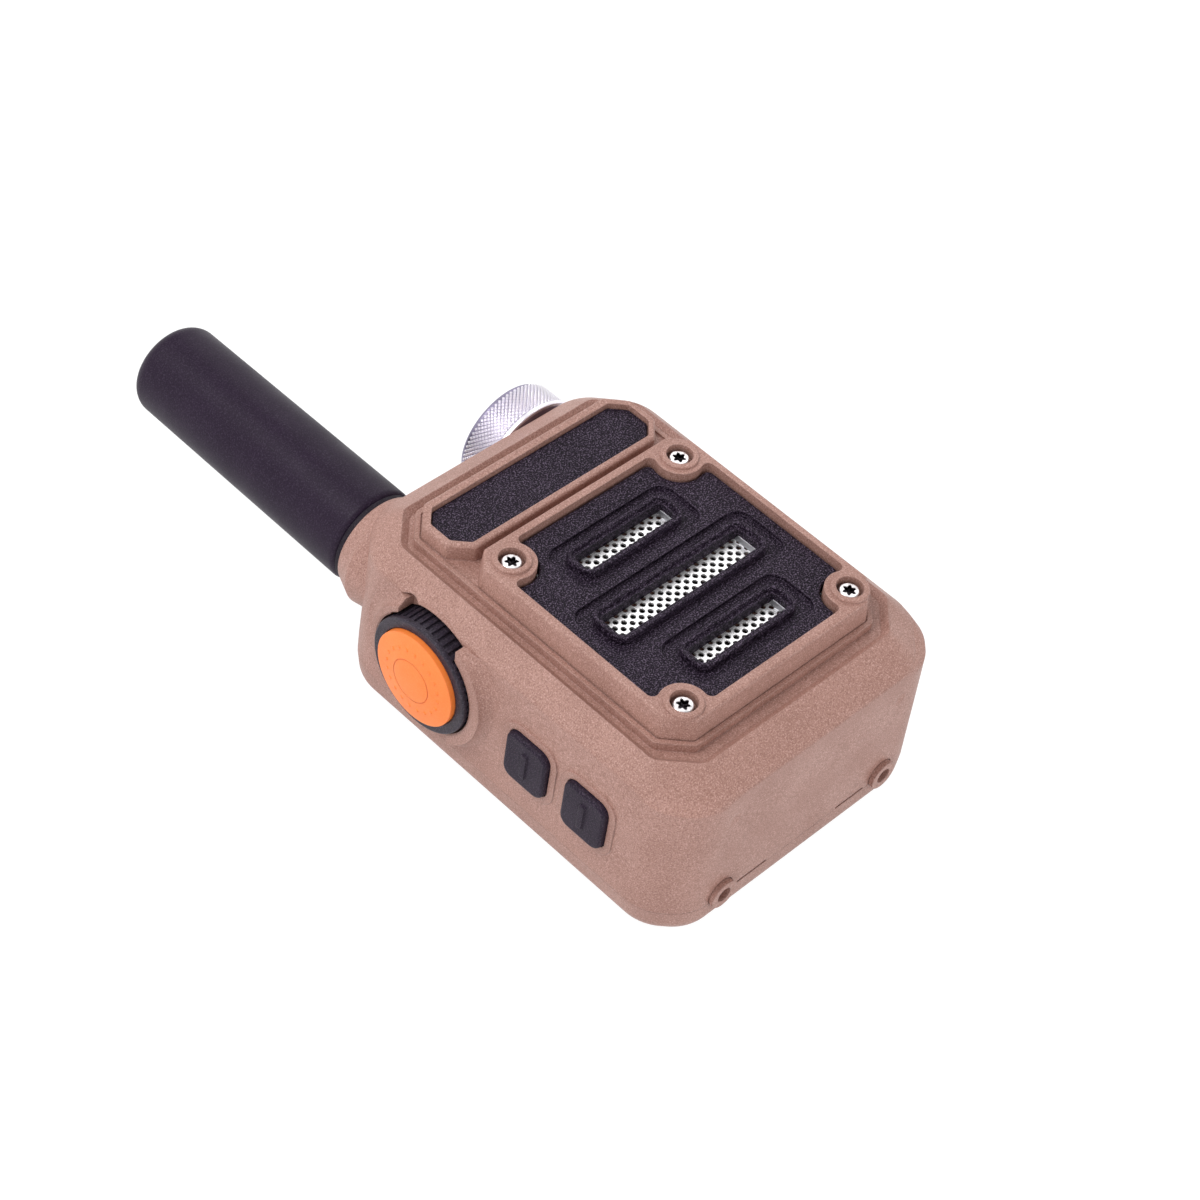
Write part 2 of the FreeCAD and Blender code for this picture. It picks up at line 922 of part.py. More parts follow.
# ---------------------------------------------------------------- front trim
def grille_plate():
    plate = recess_shape(plate_gap, recess_floor_z + sheet_thickness, plate_top_z)
    plate = rounded(plate, plate_edge_rounding, at_level(plate_top_z))
    for y, half_x, half_y in slots:
        rim = slot_rim_width
        moat = rim + moat_width
        moat_floor = plate_top_z - moat_depth
        outer = rectangle(
            half_x + moat, y - half_y - moat + 0.5, y + half_y + moat - 0.5, slot_corner_radius + 2, moat_floor
        )
        inner = rectangle(
            half_x + rim, y - half_y - rim, y + half_y + rim, slot_corner_radius + 1, moat_floor
        )
        ring = prism(outer, moat_depth + 1).cut(prism(inner, moat_depth + 1))
        plate = plate.cut(ring)
        opening = rectangle(half_x, y - half_y, y + half_y, slot_corner_radius, recess_floor_z)
        plate = plate.cut(prism(opening, plate_top_z - recess_floor_z + 1))
    return plate


def speaker_mesh():
    sheet = recess_shape(plate_gap + sheet_margin, recess_floor_z, recess_floor_z + sheet_thickness)
    holes = []
    for slot_y, half_x, half_y in slots:
        rows = int((half_y + hole_radius) / (hole_pitch_y / 2))
        columns = int((half_x + hole_radius) / (hole_pitch_x / 2))
        for row in range(-rows, rows + 1):
            for column in range(-columns, columns + 1):
                if (row + column) % 2 == 0:
                    x = column * hole_pitch_x / 2
                    y = slot_y + row * hole_pitch_y / 2
                    holes.append(hexagon_prism(x, y, recess_floor_z, hole_radius, sheet_thickness))
    return sheet.cut(Part.makeCompound(holes))


def hexagon_prism(x, y, z, radius, height):
    """Six-sided hole of a small round size."""
    points = [
        Vector(x + radius * math.cos(math.radians(60 * k)), y + radius * math.sin(math.radians(60 * k)), z)
        for k in range(7)
    ]
    return Part.Face(Part.makePolygon(points)).extrude(Vector(0, 0, height))


def name_plate():
    plate = badge_space(badge_clearance, badge_floor_z, badge_floor_z + badge_thickness)
    return rounded(plate, badge_thickness / 4, at_level(badge_floor_z + badge_thickness))


def case_screws():
    screws = []
    for x, y in screw_points:
        head_seat_z = screw_head_z - screw_head_height
        head = rod((x, y, head_seat_z), (0, 0, 1), screw_head_height, screw_head_radius)
        head = rounded(head, screw_head_height / 5, at_level(screw_head_z))
        shank = rod((x, y, head_seat_z - screw_length), (0, 0, 1), screw_length, screw_radius)
        socket = hexagon_prism(
            x, y, screw_head_z - screw_socket_depth, screw_socket_radius, screw_socket_depth
        )
        screws.append(head.fuse(shank).cut(socket).removeSplitter())
    return Part.makeCompound(screws)


# ---------------------------------------------------------------- talk button
def talk_ring():
    outer = rod(
        (talk_ring_face_x, talk_y, talk_z), (1, 0, 0), talk_pocket_floor_x - talk_ring_face_x, talk_ring_radius
    )
    outer = outer.makeFillet(
        0.4, [edge for edge in outer.Edges if abs(edge.BoundBox.XMax - talk_ring_face_x) < 1e-4]
    )
    flutes = []
    flute_radius = talk_ring_radius * math.pi / talk_rib_count / 2
    for index in range(talk_rib_count):
        angle = 2 * math.pi * index / talk_rib_count
        distance = talk_ring_radius + flute_radius - talk_rib_depth
        start = Vector(
            talk_ring_face_x + 0.9,
            talk_y + distance * math.cos(angle),
            talk_z + distance * math.sin(angle),
        )
        points = []
        for turn in (45, 135, 225, 315, 45):
            spin = angle + math.radians(turn)
            points.append(start + Vector(0, math.cos(spin), math.sin(spin)) * flute_radius * 1.3)
        flutes.append(Part.Face(Part.makePolygon(points)).extrude(Vector(10, 0, 0)))
    bore = rod((talk_ring_face_x - 1, talk_y, talk_z), (1, 0, 0), 20, talk_ring_bore)
    return outer.cut(Part.makeCompound(flutes)).cut(bore)


def talk_cap():
    centre = (talk_y, talk_z)
    radius = talk_ring_bore - talk_cap_clearance
    drum = rod((talk_cap_rim_x, *centre), (1, 0, 0), talk_cap_depth, radius)
    sphere_radius = (radius ** 2 + talk_cap_dome ** 2) / (2 * talk_cap_dome)
    ball = Part.makeSphere(
        sphere_radius, Vector(talk_cap_rim_x - talk_cap_dome + sphere_radius, *centre)
    )
    front = rod((talk_cap_rim_x - talk_cap_dome, *centre), (1, 0, 0), talk_cap_dome, radius)
    cap = drum.fuse(front.common(ball))
    groove = rod(
        (talk_cap_rim_x - talk_cap_dome, *centre), (1, 0, 0), talk_cap_dome, talk_circle_radius
    ).cut(
        rod(
            (talk_cap_rim_x - talk_cap_dome, *centre),
            (1, 0, 0),
            talk_cap_dome,
            talk_circle_radius - talk_circle_depth,
        )
    )
    inner_ball = Part.makeSphere(
        sphere_radius - talk_circle_depth,
        Vector(talk_cap_rim_x - talk_cap_dome + sphere_radius, *centre),
    )
    cap = cap.cut(groove.cut(inner_ball))
    socket = rod(
        (talk_cap_rim_x + talk_cap_depth / 2, *centre),
        (1, 0, 0),
        talk_cap_depth,
        talk_stem_radius + shaft_seat_clearance,
    )
    return cap.cut(socket).removeSplitter()


def talk_plunger():
    centre = (talk_y, talk_z)
    start_x = talk_cap_rim_x + talk_cap_depth / 2
    shoulder_x = switch_face_x - talk_travel - 0.2
    tip_x = switch_face_x + switch_entry
    stem = rod((start_x, *centre), (1, 0, 0), shoulder_x - start_x, talk_stem_radius)
    tip = rod((shoulder_x, *centre), (1, 0, 0), tip_x - shoulder_x, plunger_tip_radius)
    return stem.fuse(tip).removeSplitter()


def switch_body(y, z, travel):
    """Push switch on the side board, bored for the tip that presses it."""
    half = switch_size / 2
    body = block((switch_face_x, side_board_x), (y - half, y + half), (z - half, z + half))
    bore = rod(
        (switch_face_x, y, z),
        (1, 0, 0),
        switch_entry + travel + switch_bore_clearance,
        plunger_tip_radius + switch_bore_clearance,
    )
    return body.cut(bore)


def side_key(y):
    wall_inner_x = -case_half_width + case_wall - 0.3
    flange_x = wall_inner_x + key_clearance
    cap = key_block(0, y, key_face_x, flange_x + key_flange_thickness)
    cap = cap.makeFillet(
        key_edge_rounding, [edge for edge in cap.Edges if abs(edge.BoundBox.XMax - key_face_x) < 1e-4]
    )
    flange = key_block(key_flange, y, flange_x, flange_x + key_flange_thickness)
    bar = block(
        (key_face_x - key_bar_height, key_face_x + 0.5),
        (y - key_bar_width / 2, y + key_bar_width / 2),
        (key_z - key_bar_length / 2, key_z + key_bar_length / 2),
    )
    stem = rod(
        (flange_x, y, key_z), (1, 0, 0), switch_face_x + switch_entry - flange_x, key_stem_radius
    )
    return cap.fuse([flange, bar, stem]).removeSplitter()


def key_switches():
    return Part.makeCompound([switch_body(y, key_z, key_travel) for y in key_centres.values()])


def side_board():
    return block(
        (side_board_x, side_board_x + side_board_thickness),
        (side_board_low_y, side_board_high_y),
        (side_board_low_z, side_board_high_z),
    )


# ---------------------------------------------------------------- antenna
def antenna_sheath():
    base_y = antenna_boss_end_y + antenna_collar_thickness
    profile = [
        (base_y, 0),
        (base_y, antenna_base_radius),
        (antenna_tip_y, antenna_tip_radius),
        (antenna_tip_y, 0),
    ]
    body = turned(profile, (antenna_x, antenna_z), "y")

    def end_edge(y):
        return [
            edge
            for edge in body.Edges
            if abs(edge.BoundBox.YMin - y) < 1e-4 and abs(edge.BoundBox.YMax - y) < 1e-4
        ]

    body = body.makeFillet(antenna_tip_rounding, end_edge(antenna_tip_y))
    body = body.makeFillet(antenna_base_rounding, end_edge(base_y))
    socket = rod(
        (antenna_x, base_y, antenna_z), (0, 1, 0), connector_length, connector_radius + connector_clearance
    )
    rod_space = rod(
        (antenna_x, base_y, antenna_z),
        (0, 1, 0),
        antenna_rod_start + connector_length + antenna_rod_length,
        antenna_rod_radius + shaft_seat_clearance,
    )
    return body.cut([socket, rod_space])


def antenna_collar():
    start = (antenna_x, antenna_boss_end_y, antenna_z)
    ring = rod(start, (0, 1, 0), antenna_collar_thickness, antenna_collar_radius)
    return ring.cut(
        rod(start, (0, 1, 0), antenna_collar_thickness, connector_radius + connector_clearance)
    )


def antenna_connector():
    floor_y = antenna_boss_end_y - antenna_boss_wall
    end_y = antenna_boss_end_y + antenna_collar_thickness + connector_length
    flange = rod(
        (antenna_x, floor_y - connector_flange_thickness, antenna_z),
        (0, 1, 0),
        connector_flange_thickness,
        connector_flange_radius,
    )
    barrel = rod((antenna_x, floor_y, antenna_z), (0, 1, 0), end_y - floor_y, connector_radius)
    hole = rod((antenna_x, floor_y, antenna_z), (0, 1, 0), end_y - floor_y, antenna_rod_radius + 0.02)
    return flange.fuse(barrel).cut(hole).removeSplitter()


def antenna_rod():
    start_y = antenna_boss_end_y + antenna_collar_thickness + antenna_rod_start
    return rod(
        (antenna_x, start_y, antenna_z), (0, 1, 0), connector_length + antenna_rod_length, antenna_rod_radius
    )


# ---------------------------------------------------------------- knob
def tuning_knob():
    rim_y = knob_base_y + knob_rim_height
    hollow_y = knob_base_y + knob_hollow_depth
    bore_y = knob_end_y - knob_cap_thickness
    profile = [
        (knob_base_y, knob_hollow_radius),
        (knob_base_y, knob_base_radius),
        (rim_y, knob_base_radius),
        (rim_y, knob_base_radius - knob_rim_step),
        (knob_end_y - knob_edge_rounding, knob_end_radius),
        (knob_end_y, knob_end_radius - knob_edge_rounding),
        (knob_end_y, 0),
        (bore_y, 0),
        (bore_y, shaft_radius + shaft_seat_clearance),
        (hollow_y, shaft_radius + shaft_seat_clearance),
        (hollow_y, knob_hollow_radius),
    ]
    return turned(profile, (knob_x, knob_z), "y")


def knob_shaft():
    start_y = inner_end_y - rotary_depth + rotary_floor
    end_y = knob_end_y - knob_cap_thickness
    return rod((knob_x, start_y, knob_z), (0, 1, 0), end_y - start_y, shaft_radius)


def rotary_switch():
    half = rotary_size / 2
    body = block(
        (knob_x - half, knob_x + half),
        (inner_end_y - rotary_depth, inner_end_y),
        (knob_z - half, knob_z + half),
    )
    end_y = knob_boss_end_y + bushing_reach
    bushing = rod((knob_x, inner_end_y, knob_z), (0, 1, 0), end_y - inner_end_y, bushing_radius)
    start_y = inner_end_y - rotary_depth + rotary_floor - 0.1
    bore = rod(
        (knob_x, start_y, knob_z), (0, 1, 0), end_y - start_y, shaft_radius + shaft_running_clearance
    )
    return body.fuse(bushing).cut(bore).removeSplitter()


def rotary_nut():
    radius = nut_across_flats / math.sqrt(3)
    points = [
        Vector(
            knob_x + radius * math.cos(math.radians(60 * k)),
            knob_boss_end_y,
            knob_z + radius * math.sin(math.radians(60 * k)),
        )
        for k in range(7)
    ]
    nut = Part.Face(Part.makePolygon(points)).extrude(Vector(0, nut_thickness, 0))
    bore = rod(
        (knob_x, knob_boss_end_y, knob_z),
        (0, 1, 0),
        nut_thickness,
        bushing_radius + shaft_seat_clearance,
    )
    return nut.cut(bore)


# ---------------------------------------------------------------- inner parts
def circuit_board():
    low_x = side_board_x + side_board_thickness + board_left_gap
    corners = [
        (low_x, board_low_y),
        (board_half_width - board_corner_cut, board_low_y),
        (board_half_width, board_low_y + board_corner_cut),
        (board_half_width, board_high_y),
        (low_x, board_high_y),
    ]
    outline = rounded_polygon([Vector(x, y, board_z) for x, y in corners], board_corner_radius)
    board = prism(outline, board_thickness)
    holes = [
        rod((x, y, board_z), (0, 0, 1), board_thickness, post_radius + board_hole_clearance)
        for x, y in screw_points
    ]
    return board.cut(holes)


def radio_module():
    half = chip_size / 2
    low_z = board_z + board_thickness
    return block((-half, half), (chip_y - half, chip_y + half), (low_z, low_z + chip_height))


def battery_pack():
    low_x = -battery_width / 2
    pack = block(
        (low_x, -low_x),
        (battery_y - battery_length / 2, battery_y + battery_length / 2),
        (case_wall, case_wall + battery_thickness),
    )
    return rounded(pack, battery_rounding, upright)


def battery_foam():
    return block(
        (-foam_width / 2, foam_width / 2),
        (battery_y - foam_length / 2, battery_y + foam_length / 2),
        (case_wall + battery_thickness, board_z),
    )


def microphone():
    return rod(
        (0, microphone_y, board_z + board_thickness), (0, 0, 1), microphone_height, microphone_radius
    )


def speaker_gasket():
    low_z = ceiling_z - speaker_gasket_thickness
    start = (0, screw_centre_y, low_z)
    ring = rod(start, (0, 0, 1), speaker_gasket_thickness, speaker_radius)
    return ring.cut(
        rod(start, (0, 0, 1), speaker_gasket_thickness, speaker_radius - speaker_gasket_width)
    )


def speaker_frame():
    top = ceiling_z - speaker_gasket_thickness
    flange = top - speaker_flange_thickness
    back = top - speaker_depth - speaker_flange_thickness
    inner = speaker_radius - speaker_gasket_width
    profile = [
        (top, speaker_radius),
        (flange, speaker_radius),
        (flange, inner + speaker_sheet),
        (back, speaker_back_radius + speaker_sheet),
        (back - speaker_sheet, speaker_back_radius),
        (back - speaker_sheet, 0),
        (back, 0),
        (back, speaker_back_radius - speaker_sheet),
        (flange, inner - speaker_sheet),
        (top, inner - speaker_sheet),
    ]
    return turned(profile, (0, screw_centre_y), "z")


def speaker_cone():
    top = ceiling_z - speaker_gasket_thickness
    outer = speaker_radius - speaker_gasket_width - 0.1
    bottom = top - speaker_depth / 2
    profile = [
        (top, outer),
        (top + cone_thickness, outer),
        (top + cone_thickness, outer - 1),
        (bottom, dust_cap_radius),
        (bottom + 0.8, 0),
        (bottom + 0.8 - cone_thickness, 0),
        (bottom - cone_thickness, dust_cap_radius),
        (top, outer - 1.2),
    ]
    return turned(profile, (0, screw_centre_y), "z")


def speaker_magnet():
    back = ceiling_z - speaker_gasket_thickness - speaker_depth - speaker_flange_thickness - speaker_sheet
    return rod(
        (0, screw_centre_y, back - speaker_magnet_height), (0, 0, 1), speaker_magnet_height, speaker_magnet_radius
    )


def charge_socket():
    outer_x = case_half_width - 0.2
    start_x = outer_x - socket_depth
    shell = socket_prism(0, start_x, socket_depth)
    return shell.cut(socket_prism(-socket_sheet, start_x + 1, socket_depth))


# ---------------------------------------------------------------- export
nodes = {
    "front_housing": front_housing,
    "rear_housing": rear_housing,
    "grille_plate": grille_plate,
    "speaker_mesh": speaker_mesh,
    "name_plate": name_plate,
    "case_screws": case_screws,
    "talk_ring": talk_ring,
    "talk_cap": talk_cap,
    "talk_plunger": talk_plunger,
    "talk_switch": lambda: switch_body(talk_y, talk_z, talk_travel),
    "side_key_upper": lambda: side_key(key_centres["upper"]),
    "side_key_lower": lambda: side_key(key_centres["lower"]),
    "key_switches": key_switches,
    "side_board": side_board,
    "antenna_sheath": antenna_sheath,
    "antenna_collar": antenna_collar,
    "antenna_connector": antenna_connector,
    "antenna_rod": antenna_rod,
    "tuning_knob": tuning_knob,
    "knob_shaft": knob_shaft,
    "rotary_switch": rotary_switch,
    "rotary_nut": rotary_nut,
    "circuit_board": circuit_board,
    "radio_module": radio_module,
    "battery_pack": battery_pack,
    "battery_foam": battery_foam,
    "microphone": microphone,
    "speaker_gasket": speaker_gasket,
    "speaker_frame": speaker_frame,
    "speaker_cone": speaker_cone,
    "speaker_magnet": speaker_magnet,
    "charge_socket": charge_socket,
}

os.makedirs("parts", exist_ok=True)
for name, build in nodes.items():
    shape = build()
    shape.exportStep("parts/" + name + ".step")
    print(name, "solids", len(shape.Solids), "valid", shape.isValid(), "volume", round(shape.Volume, 2))
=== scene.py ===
"""Looks of the toy walkie talkie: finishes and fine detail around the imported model."""

import bmesh
import bpy
import math

from mathutils import Matrix, Vector


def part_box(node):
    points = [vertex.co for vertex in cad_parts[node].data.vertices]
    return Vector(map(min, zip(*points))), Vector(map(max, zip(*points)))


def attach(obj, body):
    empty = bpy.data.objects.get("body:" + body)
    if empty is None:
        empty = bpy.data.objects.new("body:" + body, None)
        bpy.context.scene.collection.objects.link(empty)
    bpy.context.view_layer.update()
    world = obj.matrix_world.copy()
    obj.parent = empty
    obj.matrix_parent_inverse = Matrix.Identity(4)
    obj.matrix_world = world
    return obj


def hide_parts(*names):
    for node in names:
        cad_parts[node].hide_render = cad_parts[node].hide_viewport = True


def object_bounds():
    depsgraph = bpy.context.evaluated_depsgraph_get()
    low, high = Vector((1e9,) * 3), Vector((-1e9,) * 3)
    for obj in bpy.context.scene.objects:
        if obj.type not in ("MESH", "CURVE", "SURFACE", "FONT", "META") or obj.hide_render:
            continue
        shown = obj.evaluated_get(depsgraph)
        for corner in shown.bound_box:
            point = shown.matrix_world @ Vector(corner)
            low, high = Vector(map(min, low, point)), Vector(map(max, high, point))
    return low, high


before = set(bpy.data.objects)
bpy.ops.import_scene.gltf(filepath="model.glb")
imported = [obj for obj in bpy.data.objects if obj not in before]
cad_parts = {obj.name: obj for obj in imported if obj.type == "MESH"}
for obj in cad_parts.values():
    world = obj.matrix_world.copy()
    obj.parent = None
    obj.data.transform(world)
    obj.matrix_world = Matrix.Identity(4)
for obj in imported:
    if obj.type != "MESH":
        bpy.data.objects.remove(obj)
cad_low, cad_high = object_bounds()
MM = 0.001

# ---------------------------------------------------------------- studio table
# The radio lies on its back on a plain white table under soft studio light.
# The room is bright round the horizon and dimmer overhead, with one large softbox
# high over the talk button's side, and weaker ones off the bottom end and behind.
def linked(tree, source, target):
    tree.links.new(source, target)


def maths(tree, operation, first, second):
    """A maths node; first and second are numbers or sockets."""
    node = tree.nodes.new("ShaderNodeMath")
    node.operation = operation
    for socket, value in zip(node.inputs, (first, second)):
        if isinstance(value, (int, float)):
            socket.default_value = value
        else:
            linked(tree, value, socket)
    return node.outputs[0]


def seen_directly(tree):
    """1 for rays from the camera and for rays that mirror or pass through."""
    path = tree.nodes.new("ShaderNodeLightPath")
    mirrored = maths(tree, "MAXIMUM", path.outputs["Is Glossy Ray"], path.outputs["Is Transmission Ray"])
    return maths(tree, "MAXIMUM", path.outputs["Is Camera Ray"], mirrored)


def as_mesh(name, bm):
    """The mesh of a finished bmesh, which is freed."""
    mesh = bpy.data.meshes.new(name)
    bm.to_mesh(mesh)
    bm.free()
    return mesh


table_gap = 0.05 * MM
table_half = 4.0
paper_white = (0.88, 0.88, 0.89)
paper_glow = 1.15
paper_glow_share = 0.82
table_paper = bpy.data.materials.new("white_table")
table_paper.use_nodes = True
tree = table_paper.node_tree
tree.nodes.clear()
paper = tree.nodes.new("ShaderNodeBsdfDiffuse")
paper.inputs["Color"].default_value = (*paper_white, 1)
glow = tree.nodes.new("ShaderNodeEmission")
glow.inputs["Color"].default_value = (1, 1, 1, 1)
glow.inputs["Strength"].default_value = paper_glow
mix = tree.nodes.new("ShaderNodeMixShader")
surface = tree.nodes.new("ShaderNodeOutputMaterial")
linked(tree, maths(tree, "MULTIPLY", seen_directly(tree), paper_glow_share), mix.inputs[0])
linked(tree, paper.outputs[0], mix.inputs[1])
linked(tree, glow.outputs[0], mix.inputs[2])
linked(tree, mix.outputs[0], surface.inputs["Surface"])

bm = bmesh.new()
bmesh.ops.create_grid(bm, x_segments=1, y_segments=1, size=table_half)
bmesh.ops.translate(bm, vec=(0, 0, cad_low.z - table_gap), verts=bm.verts)
table = bpy.data.objects.new("table", as_mesh("table", bm))
table.data.materials.append(table_paper)
bpy.context.collection.objects.link(table)

horizon_light = 1.2
horizon_height = 0.12
overhead_light = 0.42
overhead_height = 0.85
room = bpy.data.worlds.new("room")
bpy.context.scene.world = room
room.use_nodes = True
tree = room.node_tree
sky = tree.nodes["Background"]
sky.inputs["Color"].default_value = (1, 1, 1, 1)
place = tree.nodes.new("ShaderNodeTexCoord")
split = tree.nodes.new("ShaderNodeSeparateXYZ")
linked(tree, place.outputs["Generated"], split.inputs[0])
height = tree.nodes.new("ShaderNodeMapRange")
height.inputs["From Min"].default_value = horizon_height
height.inputs["From Max"].default_value = overhead_height
height.inputs["To Min"].default_value = horizon_light
height.inputs["To Max"].default_value = overhead_light
linked(tree, split.outputs["Z"], height.inputs["Value"])
path = tree.nodes.new("ShaderNodeLightPath")
linked(
    tree,
    maths(tree, "MAXIMUM", height.outputs["Result"], path.outputs["Is Camera Ray"]),
    sky.inputs["Strength"],
)


def softbox(name, place, aim, size, power):
    """A rectangular softbox at a place, turned to face the aim point."""
    lamp = bpy.data.lights.new(name, "AREA")
    lamp.shape = "RECTANGLE"
    lamp.size, lamp.size_y = size
    lamp.energy = power
    holder = bpy.data.objects.new(name, lamp)
    holder.location = place
    holder.rotation_euler = (Vector(aim) - Vector(place)).to_track_quat("-Z", "Y").to_euler()
    bpy.context.collection.objects.link(holder)


radio_middle = (cad_low + cad_high) / 2
large_softbox, small_softbox = (0.6, 0.5), (0.5, 0.4)
softbox("left_softbox", (-0.42, 0.25, 0.88), radio_middle, large_softbox, 5.2)
softbox("end_softbox", (0.15, -0.85, 0.35), radio_middle, small_softbox, 0.9)
softbox("back_softbox", (0.54, 0.41, 0.76), radio_middle, small_softbox, 1.3)

camera_place = (-0.26817, -0.20249, 0.38203)
camera_turn_degrees = (43.1317, -6.6077, -44.5999)
camera = bpy.data.objects.new("camera", bpy.data.cameras.new("camera"))
camera.data.sensor_width = 36.0
camera.data.lens = 85.94
camera.data.clip_start = 0.01
camera.location = camera_place
camera.rotation_euler = [math.radians(turn) for turn in camera_turn_degrees]
bpy.context.collection.objects.link(camera)
bpy.context.scene.camera = camera
bpy.context.scene.view_settings.view_transform = "Standard"


# ---------------------------------------------------------------- case halves
# Two halves moulded in tan nylon with a fine spark-eroded grain.
# The front half laps over the rear one and four long screws hold them together.
def finish(name, colour, roughness):
    """A new finish: the material, its node tree and its main shader."""
    material = bpy.data.materials.new(name)
    material.use_nodes = True
    shader = material.node_tree.nodes["Principled BSDF"]
    shader.inputs["Base Color"].default_value = (*colour, 1)
    shader.inputs["Roughness"].default_value = roughness
    return material, material.node_tree, shader


def object_place(tree):
    """The Object coordinates of a finish, made once for its tree."""
    found = [node for node in tree.nodes if node.bl_idname == "ShaderNodeTexCoord"]
    node = found[0] if found else tree.nodes.new("ShaderNodeTexCoord")
    return node.outputs["Object"]


def noise(tree, size_mm, detail=2.0, seed=0.0):
    """A cloudy pattern whose patches are about size_mm across, near 0.5 on average."""
    shift = tree.nodes.new("ShaderNodeMapping")
    shift.inputs["Location"].default_value = (seed, seed / 2, -seed)
    linked(tree, object_place(tree), shift.inputs["Vector"])
    node = tree.nodes.new("ShaderNodeTexNoise")
    node.inputs["Scale"].default_value = 1 / (size_mm * MM)
    node.inputs["Detail"].default_value = detail
    linked(tree, shift.outputs[0], node.inputs["Vector"])
    return node.outputs["Fac"]


def spread(tree, value, low, high, out_low, out_high):
    """value from low..high to out_low..out_high, held at the ends."""
    node = tree.nodes.new("ShaderNodeMapRange")
    sockets = ("From Min", "From Max", "To Min", "To Max")
    for socket, number in zip(sockets, (low, high, out_low, out_high)):
        node.inputs[socket].default_value = number
    linked(tree, value, node.inputs["Value"])
    return node.outputs["Result"]


def mixed(tree, share, first, second):
    """first goes over to second as share goes from 0 to 1; both are colours or sockets."""
    node = tree.nodes.new("ShaderNodeMix")
    node.data_type = "RGBA"
    linked(tree, share, node.inputs["Factor"])
    for socket, colour in zip((node.inputs[6], node.inputs[7]), (first, second)):
        if isinstance(colour, tuple):
            socket.default_value = (*colour, 1)
        else:
            linked(tree, colour, socket)
    return node.outputs[2]


def eased_normal(tree, radius_mm):
    """The surface's normal with sharp edges eased to a small radius, and how near an edge is."""
    edge_begins, edge_full = 0.98, 0.72
    eased = tree.nodes.new("ShaderNodeBevel")
    eased.samples = 4
    eased.inputs["Radius"].default_value = radius_mm * MM
    geometry = tree.nodes.new("ShaderNodeNewGeometry")
    dot = tree.nodes.new("ShaderNodeVectorMath")
    dot.operation = "DOT_PRODUCT"
    linked(tree, eased.outputs[0], dot.inputs[0])
    linked(tree, geometry.outputs["Normal"], dot.inputs[1])
    return eased.outputs[0], spread(tree, dot.outputs["Value"], edge_begins, edge_full, 0.0, 1.0)


def grained(tree, shader, height, depth_mm, normal=None):
    """Bumps of depth_mm from a height pattern, on the given normal."""
    bump = tree.nodes.new("ShaderNodeBump")
    bump.inputs["Distance"].default_value = depth_mm * MM
    bump.inputs["Strength"].default_value = 1.0
    linked(tree, height, bump.inputs["Height"])
    if normal is not None:
        linked(tree, normal, bump.inputs["Normal"])
    linked(tree, bump.outputs[0], shader.inputs["Normal"])


def moulded(
    name, colour, light, dark, roughness, grain_mm, grain_depth_mm, edge_mm, specks=0.55, sheen=0.5
):
    """Moulded plastic: eased edges, fine grain, light specks, faint clouding, and edges polished smoother
    with a painted highlight.
    """
    cloud_mm = 9.0
    cloud_share = edge_highlight_share = 0.35
    roughness_swing = 0.04
    edge_polish = 0.12
    material, tree, shader = finish(name, colour, roughness)
    shader.inputs["Specular IOR Level"].default_value = sheen
    normal, edge = eased_normal(tree, edge_mm)
    clouds = spread(tree, noise(tree, cloud_mm, 3.0), 0.35, 0.65, 0.0, 1.0)
    dots = spread(tree, noise(tree, grain_mm, 1.0, 0.3), 0.50, 0.72, 0.0, specks)
    pits = spread(tree, noise(tree, grain_mm * 1.3, 1.0, 0.7), 0.55, 0.35, 0.0, specks)
    base = mixed(tree, maths(tree, "MULTIPLY", clouds, cloud_share), colour, dark)
    base = mixed(tree, pits, base, dark)
    base = mixed(tree, dots, base, light)
    # Painted highlight: near eased edges the colour is lightened towards the light tint.
    base = mixed(tree, maths(tree, "MULTIPLY", edge, edge_highlight_share), base, light)
    linked(tree, base, shader.inputs["Base Color"])
    rough = spread(tree, clouds, 0.0, 1.0, roughness - roughness_swing, roughness + roughness_swing)
    rough = maths(tree, "SUBTRACT", rough, maths(tree, "MULTIPLY", edge, edge_polish))
    linked(tree, rough, shader.inputs["Roughness"])
    grained(tree, shader, noise(tree, grain_mm, 2.0), grain_depth_mm, normal)
    return material


def dress(material, *nodes):
    """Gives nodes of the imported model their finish."""
    for node in nodes:
        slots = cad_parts[node].data.materials
        slots.clear()
        slots.append(material)


tan_plastic = moulded(
    "tan_plastic",
    colour=(0.405, 0.220, 0.178), light=(0.600, 0.372, 0.325), dark=(0.255, 0.122, 0.092),
    roughness=0.50, grain_mm=0.24, grain_depth_mm=0.060, edge_mm=0.30, specks=0.75,
)
dress(tan_plastic, "front_housing", "rear_housing")


# ---------------------------------------------------------------- circuit boards
# Two glass-fibre boards in green solder mask: the large one across the case and
# the narrow one behind the side keys. The radio module sits under a tin can, and
# the charging socket is a folded tin shell.
def bare_metal(name, colour, stain, roughness, grain_mm, depth_mm, edge_mm=0.12):
    """Bare metal with a fine surface, faint stains, and a painted highlight on its eased edges."""
    material, tree, shader = finish(name, colour, roughness)
    shader.inputs["Metallic"].default_value = 1.0
    normal, edge = eased_normal(tree, edge_mm)
    stains = spread(tree, noise(tree, 3.0, 3.0, 0.9), 0.40, 0.70, 0.0, 0.6)
    base = mixed(tree, stains, colour, stain)
    # Painted highlight: near eased edges the metal is lightened to a brighter copy of its colour.
    bright = tuple(min(1.0, part * 1.15) for part in colour)
    linked(tree, mixed(tree, edge, base, bright), shader.inputs["Base Color"])
    linked(tree, spread(tree, stains, 0.0, 0.6, roughness, roughness + 0.12), shader.inputs["Roughness"])
    grained(tree, shader, noise(tree, grain_mm, 2.0, 0.5), depth_mm, normal)
    return material, tree, shader


